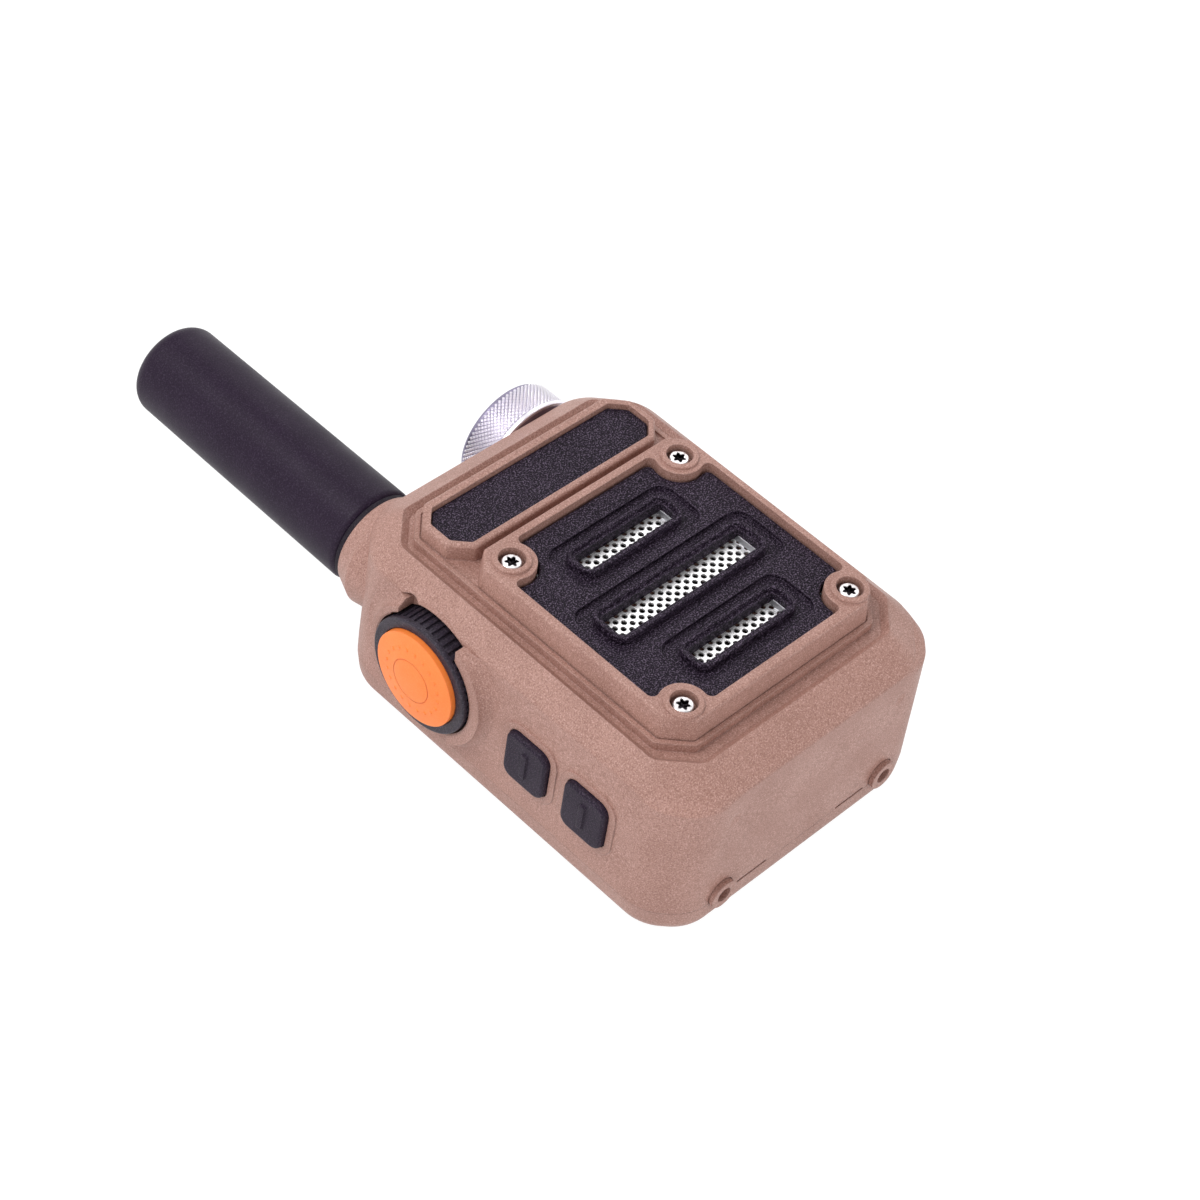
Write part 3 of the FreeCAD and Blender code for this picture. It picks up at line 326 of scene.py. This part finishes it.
board_green, tree, shader = finish("board_green", (0.02, 0.16, 0.06), 0.35)
tracks = noise(tree, 2.2, 0.0, 1.7)
track_edges = spread(tree, maths(tree, "PINGPONG", tracks, 0.06), 0.02, 0.03, 0.0, 1.0)
mask_green = mixed(tree, track_edges, (0.035, 0.26, 0.10), (0.012, 0.13, 0.05))
linked(tree, mask_green, shader.inputs["Base Color"])
shader.inputs["Coat Weight"].default_value = 0.4
grained(tree, shader, track_edges, 0.03)
dress(board_green, "circuit_board", "side_board")

tin_can, _, _ = bare_metal("tin_can", (0.66, 0.65, 0.63), (0.48, 0.46, 0.44), 0.34, 0.3, 0.006)
dress(tin_can, "radio_module", "microphone", "charge_socket")

# ---------------------------------------------------------------- battery
# A flat cell in blue shrink film that is pulled tight over its edges, held down
# by a block of grey foam under the board.
battery_wrap, tree, shader = finish("battery_wrap", (0.05, 0.13, 0.42), 0.30)
normal, edge = eased_normal(tree, 0.8)
ripples = noise(tree, 5.0, 2.0, 2.1)
film_blue = mixed(tree, spread(tree, ripples, 0.35, 0.65, 0.0, 1.0), (0.04, 0.11, 0.38), (0.07, 0.17, 0.48))
# Painted highlight: the film is lightened towards a pale blue near its eased edges.
film_blue = mixed(tree, maths(tree, "MULTIPLY", edge, 0.5), film_blue, (0.14, 0.26, 0.58))
linked(tree, film_blue, shader.inputs["Base Color"])
shader.inputs["Coat Weight"].default_value = 0.6
shader.inputs["Coat Roughness"].default_value = 0.15
grained(tree, shader, ripples, 0.12, normal)
dress(battery_wrap, "battery_pack")


def cells(tree, size_mm):
    """How far each point is from the middle of its cell in a foam of small bubbles."""
    node = tree.nodes.new("ShaderNodeTexVoronoi")
    node.inputs["Scale"].default_value = 1 / (size_mm * MM)
    linked(tree, object_place(tree), node.inputs["Vector"])
    return node.outputs["Distance"]


foam, tree, shader = finish("foam", (0.13, 0.13, 0.14), 0.9)
bubbles = spread(tree, cells(tree, 0.7), 0.1, 0.6, 0.0, 1.0)
linked(tree, mixed(tree, bubbles, (0.05, 0.05, 0.055), (0.18, 0.18, 0.19)), shader.inputs["Base Color"])
linked(tree, spread(tree, bubbles, 0.0, 1.0, 0.95, 0.8), shader.inputs["Roughness"])
grained(tree, shader, bubbles, 0.2)
dress(foam, "battery_foam", "speaker_gasket")

# ---------------------------------------------------------------- speaker
# A small loudspeaker: pressed steel frame, moulded paper cone with a dust cap,
# and a black ferrite magnet glued to its back.
basket_steel, _, _ = bare_metal("basket_steel", (0.60, 0.60, 0.63), (0.42, 0.42, 0.45), 0.36, 0.4, 0.010)
dress(basket_steel, "speaker_frame")

paper_pulp, tree, shader = finish("paper_pulp", (0.055, 0.052, 0.050), 0.85)
fibres = noise(tree, 0.5, 6.0, 3.3)
pulp = mixed(tree, spread(tree, fibres, 0.35, 0.65, 0.0, 1.0), (0.035, 0.033, 0.032), (0.095, 0.090, 0.086))
linked(tree, pulp, shader.inputs["Base Color"])
grained(tree, shader, fibres, 0.05)
dress(paper_pulp, "speaker_cone")

ferrite, tree, shader = finish("ferrite", (0.07, 0.07, 0.075), 0.55)
normal, edge = eased_normal(tree, 0.25)
grit = noise(tree, 0.4, 4.0, 4.1)
grey = mixed(tree, spread(tree, grit, 0.3, 0.7, 0.0, 1.0), (0.045, 0.045, 0.05), (0.11, 0.11, 0.115))
# Painted highlight: the grey is lightened near eased edges.
grey = mixed(tree, maths(tree, "MULTIPLY", edge, 0.6), grey, (0.20, 0.20, 0.21))
linked(tree, grey, shader.inputs["Base Color"])
linked(tree, spread(tree, grit, 0.3, 0.7, 0.45, 0.7), shader.inputs["Roughness"])
grained(tree, shader, grit, 0.03, normal)
dress(ferrite, "speaker_magnet")

# ---------------------------------------------------------------- speaker mesh
# Bright perforated steel under the grille plate: a strip under each slot, punched
# with round holes in staggered rows, its ends folded up. A strip is one layer of
# four-cornered cells with a hole in each, cut to its outline and then thickened.
hole_pitch_x = 2.13 * MM
hole_pitch_y = 1.90 * MM
punched_radius = 0.53 * MM
hole_sides = 12
slot_middle_y = -6.25 * MM
slot_offset = 13.3 * MM
phase_x = 0.355 * MM
phase_y = 0.66 * MM
slot_rows = ((-1, 10.4 * MM, 2.0 * MM), (0, 16.6 * MM, 2.7 * MM), (1, 10.4 * MM, 2.0 * MM))
fold_top = 0.9 * MM
fold_width = 0.40 * MM
fold_thickness = 0.16 * MM
fold_side_gap = 0.12 * MM
fold_end_gap = 0.02 * MM
sheet_low, sheet_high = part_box("speaker_mesh")


def set_down(bm, places):
    """A new bmesh with the given small one set down at each of the places."""
    one = as_mesh("one", bm)
    whole = bmesh.new()
    for place in places:
        copy = one.copy()
        copy.transform(place)
        whole.from_mesh(copy)
        bpy.data.meshes.remove(copy)
    bpy.data.meshes.remove(one)
    return whole


def perforated(low, high, middle):
    """A flat perforated strip between two corners, with a hole at its middle point."""
    bm = bmesh.new()
    bmesh.ops.create_circle(bm, segments=hole_sides, radius=punched_radius)
    outer = bmesh.ops.create_circle(bm, segments=4, radius=1.0)["verts"]
    bmesh.ops.scale(bm, vec=(hole_pitch_x / 2, hole_pitch_y / 2, 1), verts=outer)
    sides = list({edge for vert in outer for edge in vert.link_edges})
    bmesh.ops.subdivide_edges(bm, edges=sides, cuts=hole_sides // 4 - 1)
    bmesh.ops.bridge_loops(bm, edges=bm.edges[:])
    rows = math.ceil((high.y - low.y) / hole_pitch_y) + 1
    columns = math.ceil((high.x - low.x) / hole_pitch_x) + 1
    places = [
        Matrix.Translation(middle + Vector((column * hole_pitch_x / 2, row * hole_pitch_y / 2, 0)))
        for row in range(-rows, rows + 1)
        for column in range(-columns, columns + 1)
        if (row + column) % 2 == 0
    ]
    bm = set_down(bm, places)
    bmesh.ops.remove_doubles(bm, verts=bm.verts, dist=0.01 * MM)
    for side, corner in ((1, high), (-1, low)):
        for along in (Vector((side, 0, 0)), Vector((0, side, 0))):
            everything = bm.verts[:] + bm.edges[:] + bm.faces[:]
            bmesh.ops.bisect_plane(bm, geom=everything, plane_co=corner, plane_no=along, clear_outer=True)
    bmesh.ops.recalc_face_normals(bm, faces=bm.faces)
    if sum(face.normal.z for face in bm.faces) < 0:
        bmesh.ops.reverse_faces(bm, faces=bm.faces)
    return bm


def new_piece(name, bm, material, body):
    """A finished bmesh becomes a piece with its finish, and rides on a body."""
    piece = bpy.data.objects.new(name, as_mesh(name, bm))
    piece.data.materials.append(material)
    bpy.context.collection.objects.link(piece)
    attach(piece, body)
    return piece


strips = bmesh.new()
for row in (-1, 0, 1):
    low_y = sheet_low.y if row == -1 else slot_middle_y + (row - 0.5) * slot_offset
    high_y = sheet_high.y if row == 1 else slot_middle_y + (row + 0.5) * slot_offset
    hole_x = 0.0 if row else phase_x
    hole_y = slot_middle_y + row * slot_offset + (0.0 if row else phase_y)
    strip = perforated(
        Vector((sheet_low.x, low_y, 0)),
        Vector((sheet_high.x, high_y, 0)),
        Vector((hole_x, hole_y, sheet_high.z)),
    )
    strips.from_mesh(as_mesh("strip", strip))
nickel, _, shader = bare_metal("nickel_sheet", (0.99, 0.98, 0.99), (0.95, 0.94, 0.96), 0.34, 0.35, 0.003)
shader.inputs["Metallic"].default_value = 0.70
speaker_sheet = new_piece("speaker_sheet", strips, nickel, "radio")
thicken = speaker_sheet.modifiers.new("thickness", "SOLIDIFY")
thicken.thickness = sheet_high.z - sheet_low.z
thicken.offset = -1
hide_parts("speaker_mesh")

folds = bmesh.new()
for row, half_length, half_height in slot_rows:
    for side in (-1, 1):
        made = bmesh.ops.create_cube(folds, size=1.0)["verts"]
        fold_size = (fold_thickness, 2 * (half_height - fold_side_gap), fold_top)
        bmesh.ops.scale(folds, vec=fold_size, verts=made)
        for vert in made:
            if vert.co.z > 0:
                vert.co.x += side * fold_width
        foot_x = side * (half_length - fold_width - fold_end_gap)
        middle = (foot_x, slot_middle_y + row * slot_offset, sheet_high.z + fold_top / 2)
        bmesh.ops.translate(folds, vec=middle, verts=made)
bmesh.ops.recalc_face_normals(folds, faces=folds.faces)
speaker_sheet_ends = new_piece("speaker_sheet_ends", folds, basket_steel, "radio")

# ---------------------------------------------------------------- grille and name plates
# Both plates are pressed from black plastic with a coarse dry grain that catches
# the light in fine specks. The name plate is left bare.
black_plastic = moulded(
    "black_plastic",
    colour=(0.009, 0.003, 0.012), light=(0.165, 0.125, 0.185), dark=(0.002, 0.001, 0.003),
    roughness=0.50, grain_mm=0.26, grain_depth_mm=0.10, edge_mm=0.25, specks=0.8, sheen=0.14,
)
dress(black_plastic, "grille_plate", "name_plate")

# ---------------------------------------------------------------- slot rims
# Thin raised rims moulded round the three slots of the grille plate. They stand a
# little proud of it, with a narrow ledge inside, and their feet are in the moats.
plate_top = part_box("grille_plate")[1].z
rim_stand_out = 0.8 * MM
rim_foot_depth = 0.85 * MM
rim_corner_radius = 1.0 * MM
rim_corner_sides = 6
rim_profile = [
    (0.50 * MM, -0.10 * MM),
    (0.72 * MM, rim_stand_out - 0.18 * MM),
    (0.90 * MM, rim_stand_out),
    (1.22 * MM, rim_stand_out),
    (1.42 * MM, rim_stand_out - 0.20 * MM),
    (1.50 * MM, -rim_foot_depth),
]


def only(kind, parts):
    """Those of the parts that are of one kind: points, edges or faces."""
    return [part for part in parts if isinstance(part, kind)]


def rim_ring(half_x, half_y, middle):
    """A closed ring with the rim's profile round a rounded slot."""
    bm = bmesh.new()
    sides = 4 * rim_corner_sides
    start_radius = rim_corner_radius + rim_profile[0][0]
    start = bmesh.ops.create_circle(bm, segments=sides, radius=start_radius)["verts"]
    bmesh.ops.transform(bm, matrix=Matrix.Rotation(math.pi / sides, 4, "Z"), verts=start)
    corner = Vector((half_x - rim_corner_radius, half_y - rim_corner_radius))
    for vert in start:
        vert.co.x += math.copysign(corner.x, vert.co.x)
        vert.co.y += math.copysign(corner.y, vert.co.y)
        vert.co.z = rim_profile[0][1]
    edges = bm.edges[:]
    for (reach, height), (next_reach, next_height) in zip(rim_profile, rim_profile[1:] + rim_profile[:1]):
        made = bmesh.ops.extrude_edge_only(bm, edges=edges)["geom"]
        edges = only(bmesh.types.BMEdge, made)
        for vert in only(bmesh.types.BMVert, made):
            bend = Vector((math.copysign(corner.x, vert.co.x), math.copysign(corner.y, vert.co.y)))
            outward = (vert.co.xy - bend).normalized().to_3d()
            vert.co += outward * (next_reach - reach) + Vector((0, 0, next_height - height))
    bmesh.ops.remove_doubles(bm, verts=bm.verts, dist=0.01 * MM)
    bmesh.ops.recalc_face_normals(bm, faces=bm.faces)
    bmesh.ops.translate(bm, vec=middle, verts=bm.verts)
    return as_mesh("ring", bm)


rims = bmesh.new()
for row, half_length, half_height in slot_rows:
    middle = Vector((0, slot_middle_y + row * slot_offset, plate_top))
    rims.from_mesh(rim_ring(half_length, half_height, middle))
slot_rims = new_piece("slot_rims", rims, black_plastic, "radio")

# ---------------------------------------------------------------- case screws
# Four plated pan-head screws with six-lobe sockets, sunk in the corner bosses of
# the front. Each is a turned head with a driven socket on a threaded shank.
screws_low, screws_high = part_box("case_screws")
screw_half_pitch = 20.0 * MM
screw_middle_y = -6.1 * MM
head_radius = 1.8 * MM
head_height = 1.3 * MM
head_crown = 0.22 * MM
crown_width = 0.16 * MM
crown_drop = 0.10 * MM
edge_drop = 0.16 * MM
socket_radius = 1.0 * MM
lobe_count = 6
lobe_height = 0.22 * MM
socket_depth = 0.9 * MM
socket_taper = 0.04 * MM
socket_floor_width = 0.30 * MM
socket_floor_drop = 0.10 * MM
socket_lip_width = 0.08 * MM
socket_lip_height = 0.03 * MM
shank_radius = 1.0 * MM
thread_pitch = 0.8 * MM
thread_depth = 0.18 * MM
head_sides = 60


def moved_out(bm, edges, radius_change, drop):
    """Extrudes a round loop of edges, and moves the new loop out or in and down."""
    made = bmesh.ops.extrude_edge_only(bm, edges=edges)["geom"]
    loop = only(bmesh.types.BMVert, made)
    for vert in loop:
        vert.co += vert.co.xy.normalized().to_3d() * radius_change - Vector((0, 0, drop))
    return [edge for edge in only(bmesh.types.BMEdge, made) if all(vert in loop for vert in edge.verts)]


bm = bmesh.new()
lobes = bmesh.ops.create_circle(bm, segments=head_sides, radius=socket_radius)["verts"]
for vert in lobes:
    turn = math.atan2(vert.co.y, vert.co.x)
    vert.co *= 1 + lobe_height / socket_radius * math.cos(lobe_count * turn)
lobe_edges = bm.edges[:]
wall = moved_out(bm, lobe_edges, -socket_taper, socket_depth)
floor = moved_out(bm, wall, -socket_floor_width, socket_floor_drop)
bmesh.ops.edgeloop_fill(bm, edges=floor)
top = moved_out(bm, lobe_edges, socket_lip_width, -socket_lip_height)
rim = bmesh.ops.create_circle(bm, segments=head_sides, radius=head_radius - head_crown)["verts"]
rim_edges = list({edge for vert in rim for edge in vert.link_edges})
bmesh.ops.bridge_loops(bm, edges=top + rim_edges)
shoulder = moved_out(bm, rim_edges, crown_width, crown_drop)
side = moved_out(bm, shoulder, head_crown - crown_width, edge_drop)
seat = moved_out(bm, side, 0.0, head_height - crown_drop - edge_drop)
under = moved_out(bm, seat, shank_radius - head_radius, 0.0)
turns = int((screws_high.z - head_height - screws_low.z) / thread_pitch)
for turn in range(turns):
    under = moved_out(bm, under, -thread_depth, thread_pitch / 2)
    under = moved_out(bm, under, thread_depth, thread_pitch / 2)
bmesh.ops.edgeloop_fill(bm, edges=under)
bmesh.ops.recalc_face_normals(bm, faces=bm.faces)
screw_places = [
    Matrix.Translation((column * screw_half_pitch, screw_middle_y + row * screw_half_pitch, screws_high.z))
    @ Matrix.Rotation(math.radians(17 * column + 40 * row), 4, "Z")
    for column in (-1, 1)
    for row in (-1, 1)
]
plated, tree, shader = bare_metal(
    "plated_steel", (0.78, 0.75, 0.76), (0.66, 0.64, 0.65), 0.28, 0.25, 0.003, 0.08
)
# Painted shadow: from just below the head's top, the rounded edge and sides of the head, the socket's
# depths and the shank are painted near-black as shade.
split = tree.nodes.new("ShaderNodeSeparateXYZ")
linked(tree, object_place(tree), split.inputs[0])
shade_top = screws_high.z - 0.16 * MM
shade_full = screws_high.z - 0.30 * MM
painted_shade = spread(tree, split.outputs["Z"], shade_top, shade_full, 0.0, 1.0)
bare = shader.inputs["Base Color"].links[0].from_socket
linked(tree, mixed(tree, painted_shade, bare, (0.035, 0.030, 0.035)), shader.inputs["Base Color"])
screws = new_piece("six_lobe_screws", set_down(bm, screw_places), plated, "radio")
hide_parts("case_screws")
shaft_steel, _, _ = bare_metal(
    "shaft_steel", (0.70, 0.69, 0.70), (0.55, 0.54, 0.55), 0.30, 0.3, 0.004, 0.10
)
dress(shaft_steel, "knob_shaft")

# ---------------------------------------------------------------- talk button
# A fluted black plastic ring surrounds the domed orange cap, which slides in it
# on a white nylon plunger and presses a switch. The cap has an engraved circle and
# a ring of small raised marks moulded on it.
ring_plastic = moulded(
    "ring_plastic",
    colour=(0.030, 0.022, 0.036), light=(0.090, 0.074, 0.100), dark=(0.012, 0.009, 0.014),
    roughness=0.46, grain_mm=0.26, grain_depth_mm=0.040, edge_mm=0.25, specks=0.7, sheen=0.25,
)
dress(ring_plastic, "talk_ring")
orange_plastic = moulded(
    "orange_plastic",
    colour=(0.98, 0.24, 0.040), light=(1.0, 0.31, 0.08), dark=(0.95, 0.19, 0.025),
    roughness=0.50, grain_mm=0.30, grain_depth_mm=0.010, edge_mm=0.30, specks=0.3,
)
dress(orange_plastic, "talk_cap")
white_nylon = moulded(
    "white_nylon",
    colour=(0.72, 0.71, 0.68), light=(0.80, 0.79, 0.77), dark=(0.62, 0.61, 0.58),
    roughness=0.45, grain_mm=0.40, grain_depth_mm=0.010, edge_mm=0.20,
)
dress(white_nylon, "talk_plunger")
switch_plastic = moulded(
    "switch_plastic",
    colour=(0.035, 0.035, 0.038), light=(0.075, 0.075, 0.080), dark=(0.020, 0.020, 0.022),
    roughness=0.50, grain_mm=0.30, grain_depth_mm=0.015, edge_mm=0.15,
)
dress(switch_plastic, "talk_switch", "key_switches", "rotary_switch")

cap_low, cap_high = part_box("talk_cap")
cap_dome = 1.0 * MM
mark_count = 20
mark_ring = 6.3 * MM
mark_radius = 0.50 * MM
mark_height = 0.14 * MM
mark_taper = 0.55
cap_middle = (cap_low + cap_high) / 2
cap_radius = (cap_high.y - cap_low.y) / 2
dome_radius = (cap_radius ** 2 + cap_dome ** 2) / (2 * cap_dome)
mark_drop = dome_radius - math.sqrt(dome_radius ** 2 - mark_ring ** 2)

bm = bmesh.new()
bmesh.ops.create_cone(
    bm, cap_ends=True, segments=12, depth=2 * mark_height,
    radius1=mark_radius, radius2=mark_radius * mark_taper,
)
mark_places = [
    Matrix.Translation((cap_low.x + mark_drop, cap_middle.y, cap_middle.z))
    @ Matrix.Rotation(2 * math.pi * mark / mark_count, 4, "X")
    @ Matrix.Translation((0, mark_ring, 0))
    @ Matrix.Rotation(-math.pi / 2 - math.asin(mark_ring / dome_radius), 4, "Z")
    @ Matrix.Rotation(math.pi / 2, 4, "X")
    for mark in range(mark_count)
]
cap_marks = new_piece("talk_cap_marks", set_down(bm, mark_places), orange_plastic, "talk_button")

# ---------------------------------------------------------------- talk button guards
# The front half's raised crescents before and behind the talk button keep it from
# being pressed by chance. Each has a flat face close to the ring and a hollow flank.
ring_low, ring_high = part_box("talk_ring")
talk_y = (ring_low.y + ring_high.y) / 2
talk_z = (ring_low.z + ring_high.z) / 2
guard_face_x = -34.56 * MM
guard_wall_x = -32.48 * MM
guard_root_x = -31.15 * MM
guard_bore = 11.75 * MM
guard_half_gap = 6.97 * MM
guard_low_z = 6.7 * MM
guard_high_z = 31.97 * MM
guard_sides = 120
flank_steps = 6
flank_sag = (0.8, 0.35)


def crescent(face_radius, flank_width, side):
    """A guard on the side of the talk button towards +y or -y."""
    face = Vector((guard_face_x, face_radius))
    base = Vector((guard_wall_x, face_radius + flank_width))
    waist = face + Vector((flank_sag[0] * (base.x - face.x), flank_sag[1] * flank_width))
    pull = 2 * waist - (face + base) / 2
    profile = [Vector((guard_root_x, guard_bore)), Vector((guard_face_x, guard_bore))]
    for step in range(flank_steps + 1):
        share = step / flank_steps
        profile.append(face * (1 - share) ** 2 + pull * 2 * share * (1 - share) + base * share ** 2)
    profile.append(Vector((guard_root_x, base.y)))
    bm = bmesh.new()
    points = [bm.verts.new((point.x, talk_y + point.y, talk_z)) for point in profile]
    outline = [bm.edges.new(pair) for pair in zip(points, points[1:] + points[:1])]
    bmesh.ops.spin(
        bm, geom=points + outline, cent=(0, talk_y, talk_z), axis=(1, 0, 0), angle=2 * math.pi,
        steps=guard_sides, use_merge=True,
    )
    bmesh.ops.remove_doubles(bm, verts=bm.verts, dist=0.005 * MM)
    cuts = (
        ((0, talk_y + side * guard_half_gap, 0), (0, -side, 0)),
        ((0, 0, guard_high_z), (0, 0, 1)),
        ((0, 0, guard_low_z), (0, 0, -1)),
    )
    for point, outward in cuts:
        everything = bm.verts[:] + bm.edges[:] + bm.faces[:]
        bmesh.ops.bisect_plane(bm, geom=everything, plane_co=point, plane_no=outward, clear_outer=True)
        bmesh.ops.holes_fill(bm, edges=[edge for edge in bm.edges if edge.is_boundary], sides=0)
    bmesh.ops.recalc_face_normals(bm, faces=bm.faces)
    return as_mesh("crescent", bm)


guards = bmesh.new()
guards.from_mesh(crescent(13.8 * MM, 3.2 * MM, -1))
guards.from_mesh(crescent(12.8 * MM, 3.25 * MM, 1))
talk_guards = new_piece("talk_guards", guards, tan_plastic, "radio")

# ---------------------------------------------------------------- side keys
# Two soft black rubber keys below the talk button, each with a small raised bar.
# Pressed through the side wall, they work the two small switches on the board inside.
black_rubber = moulded(
    "black_rubber",
    colour=(0.021, 0.012, 0.026), light=(0.075, 0.055, 0.085), dark=(0.009, 0.005, 0.012),
    roughness=0.52, grain_mm=0.26, grain_depth_mm=0.035, edge_mm=0.40, specks=0.7, sheen=0.17,
)
dress(black_rubber, "side_key_upper", "side_key_lower")

# ---------------------------------------------------------------- antenna
# A stubby black rubber sheath moulded over a brass whip. Its threaded foot screws
# into a brass connector in the case, down on a dark grey rubber collar.
brass, _, _ = bare_metal("brass", (0.78, 0.57, 0.26), (0.55, 0.38, 0.16), 0.28, 0.3, 0.006)
dress(brass, "antenna_connector", "antenna_rod", "rotary_nut")
sheath_rubber = moulded(
    "sheath_rubber",
    colour=(0.020, 0.010, 0.026), light=(0.048, 0.034, 0.058), dark=(0.012, 0.006, 0.016),
    roughness=0.46, grain_mm=0.26, grain_depth_mm=0.016, edge_mm=0.40, specks=0.6, sheen=0.16,
)
dress(sheath_rubber, "antenna_sheath")
grey_rubber = moulded(
    "grey_rubber",
    colour=(0.018, 0.013, 0.020), light=(0.045, 0.036, 0.050), dark=(0.010, 0.007, 0.012),
    roughness=0.60, grain_mm=0.30, grain_depth_mm=0.020, edge_mm=0.25, specks=0.6, sheen=0.15,
)
dress(grey_rubber, "antenna_collar")

# ---------------------------------------------------------------- tuning knob
# A turned aluminium knob on a steel shaft, with a diamond knurl cut over its side
# and a plain rim at its foot. The knurl is rows of low pyramids on a tapered drum.
knob_low, knob_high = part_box("tuning_knob")
knob_x = (knob_low.x + knob_high.x) / 2
knob_z = (knob_low.z + knob_high.z) / 2
knob_base_radius = 11.5 * MM
knob_end_radius = 11.15 * MM
knob_rim = 0.9 * MM
knob_rim_step = 0.25 * MM
knob_chamfer = 0.6 * MM
knurl_count = 72
knurl_rows = 7
knurl_depth = 0.42 * MM
knurl_tip = 0.22
valley_share = 0.45
knob_hollow_radius = 8.0 * MM
knob_hollow_depth = 2.6 * MM
knob_bore_radius = 3.2 * MM
knob_edge = 0.15 * MM
rim_edge = 0.1 * MM
chamfer_rise = 0.08 * MM
end_ring = 3.0 * MM
end_ring_width = 0.2 * MM
drum_sides = 96

knob_length = knob_high.y - knob_low.y
drum_profile = [
    (knob_bore_radius, knob_hollow_depth),
    (knob_hollow_radius, knob_hollow_depth),
    (knob_hollow_radius, 0.0),
    (knob_base_radius - knob_edge, 0.0),
    (knob_base_radius, knob_edge),
    (knob_base_radius, knob_rim - rim_edge),
    (knob_base_radius - rim_edge, knob_rim),
    (knob_base_radius - knob_rim_step - knurl_depth, knob_rim),
    (knob_end_radius - knurl_depth, knob_length - knob_chamfer),
    (knob_end_radius - knurl_depth, knob_length - knob_chamfer * 0.8),
    (knob_end_radius - knob_chamfer, knob_length - chamfer_rise),
    (knob_end_radius - knob_chamfer - knob_edge, knob_length),
    (knob_end_radius - end_ring, knob_length),
    (knob_end_radius - end_ring - end_ring_width, knob_length - knob_edge),
    (0.0, knob_length - knob_edge),
]
bm = bmesh.new()
points = [bm.verts.new((radius, along, 0)) for radius, along in drum_profile]
profile = [bm.edges.new(pair) for pair in zip(points, points[1:])]
bmesh.ops.spin(
    bm, geom=points + profile, cent=(0, 0, 0), axis=(0, 1, 0), angle=2 * math.pi,
    steps=drum_sides, use_merge=True,
)
bmesh.ops.remove_doubles(bm, verts=bm.verts, dist=0.001 * MM)
bmesh.ops.edgeloop_fill(bm, edges=[edge for edge in bm.edges if edge.is_boundary])
bmesh.ops.recalc_face_normals(bm, faces=bm.faces)
drum = as_mesh("drum", bm)

side_length = knob_length - knob_chamfer - knob_rim
row_height = side_length / knurl_rows
knurl_places = []
for row in range(1, 2 * knurl_rows):
    share = row / (2 * knurl_rows)
    foot = (knob_base_radius - knob_rim_step) * (1 - share) + knob_end_radius * share
    root = foot - knurl_depth
    half_width = root * math.sin(math.pi / knurl_count)
    for column in range(knurl_count):
        turn = 2 * math.pi * (column + (row % 2) / 2) / knurl_count
        knurl_places.append(
            Matrix.Rotation(turn, 4, "Y")
            @ Matrix.Translation((root, knob_rim + share * side_length, 0))
            @ Matrix.Rotation(math.pi / 2, 4, "Y")
            @ Matrix.Diagonal((half_width, row_height / 2, knurl_depth, 1))
            @ Matrix.Translation((0, 0, 0.5))
        )
bm = bmesh.new()
bmesh.ops.create_cone(bm, cap_ends=True, segments=4, radius1=1.0, radius2=knurl_tip, depth=1.0)
bm = set_down(bm, knurl_places)
bm.from_mesh(drum)
bmesh.ops.translate(bm, vec=(knob_x, knob_low.y, knob_z), verts=bm.verts)
knurled_aluminium, tree, shader = bare_metal(
    "knurled_aluminium", (0.97, 0.94, 1.0), (0.92, 0.89, 0.98), 0.34, 0.30, 0.003, 0.06
)
# Painted shade: by distance from the knob's axis, the knurl's valleys are darkened towards a dark lilac.
# Everything nearer the axis is darkened too, including the end face and the hollow.
from_axis = tree.nodes.new("ShaderNodeMapping")
from_axis.inputs["Location"].default_value = (-knob_x, 0, -knob_z)
from_axis.inputs["Scale"].default_value = (1, 0, 1)
linked(tree, object_place(tree), from_axis.inputs["Vector"])
reach = tree.nodes.new("ShaderNodeVectorMath")
reach.operation = "LENGTH"
linked(tree, from_axis.outputs[0], reach.inputs[0])
valley_radius = knob_end_radius - knurl_depth
valley_top = valley_radius + valley_share * knurl_depth
valley_shade = spread(tree, reach.outputs["Value"], valley_radius, valley_top, 1.0, 0.0)
bare = shader.inputs["Base Color"].links[0].from_socket
linked(tree, mixed(tree, valley_shade, bare, (0.30, 0.27, 0.38)), shader.inputs["Base Color"])
knurled_knob = new_piece("knurled_knob", bm, knurled_aluminium, "knob")
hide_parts("tuning_knob")
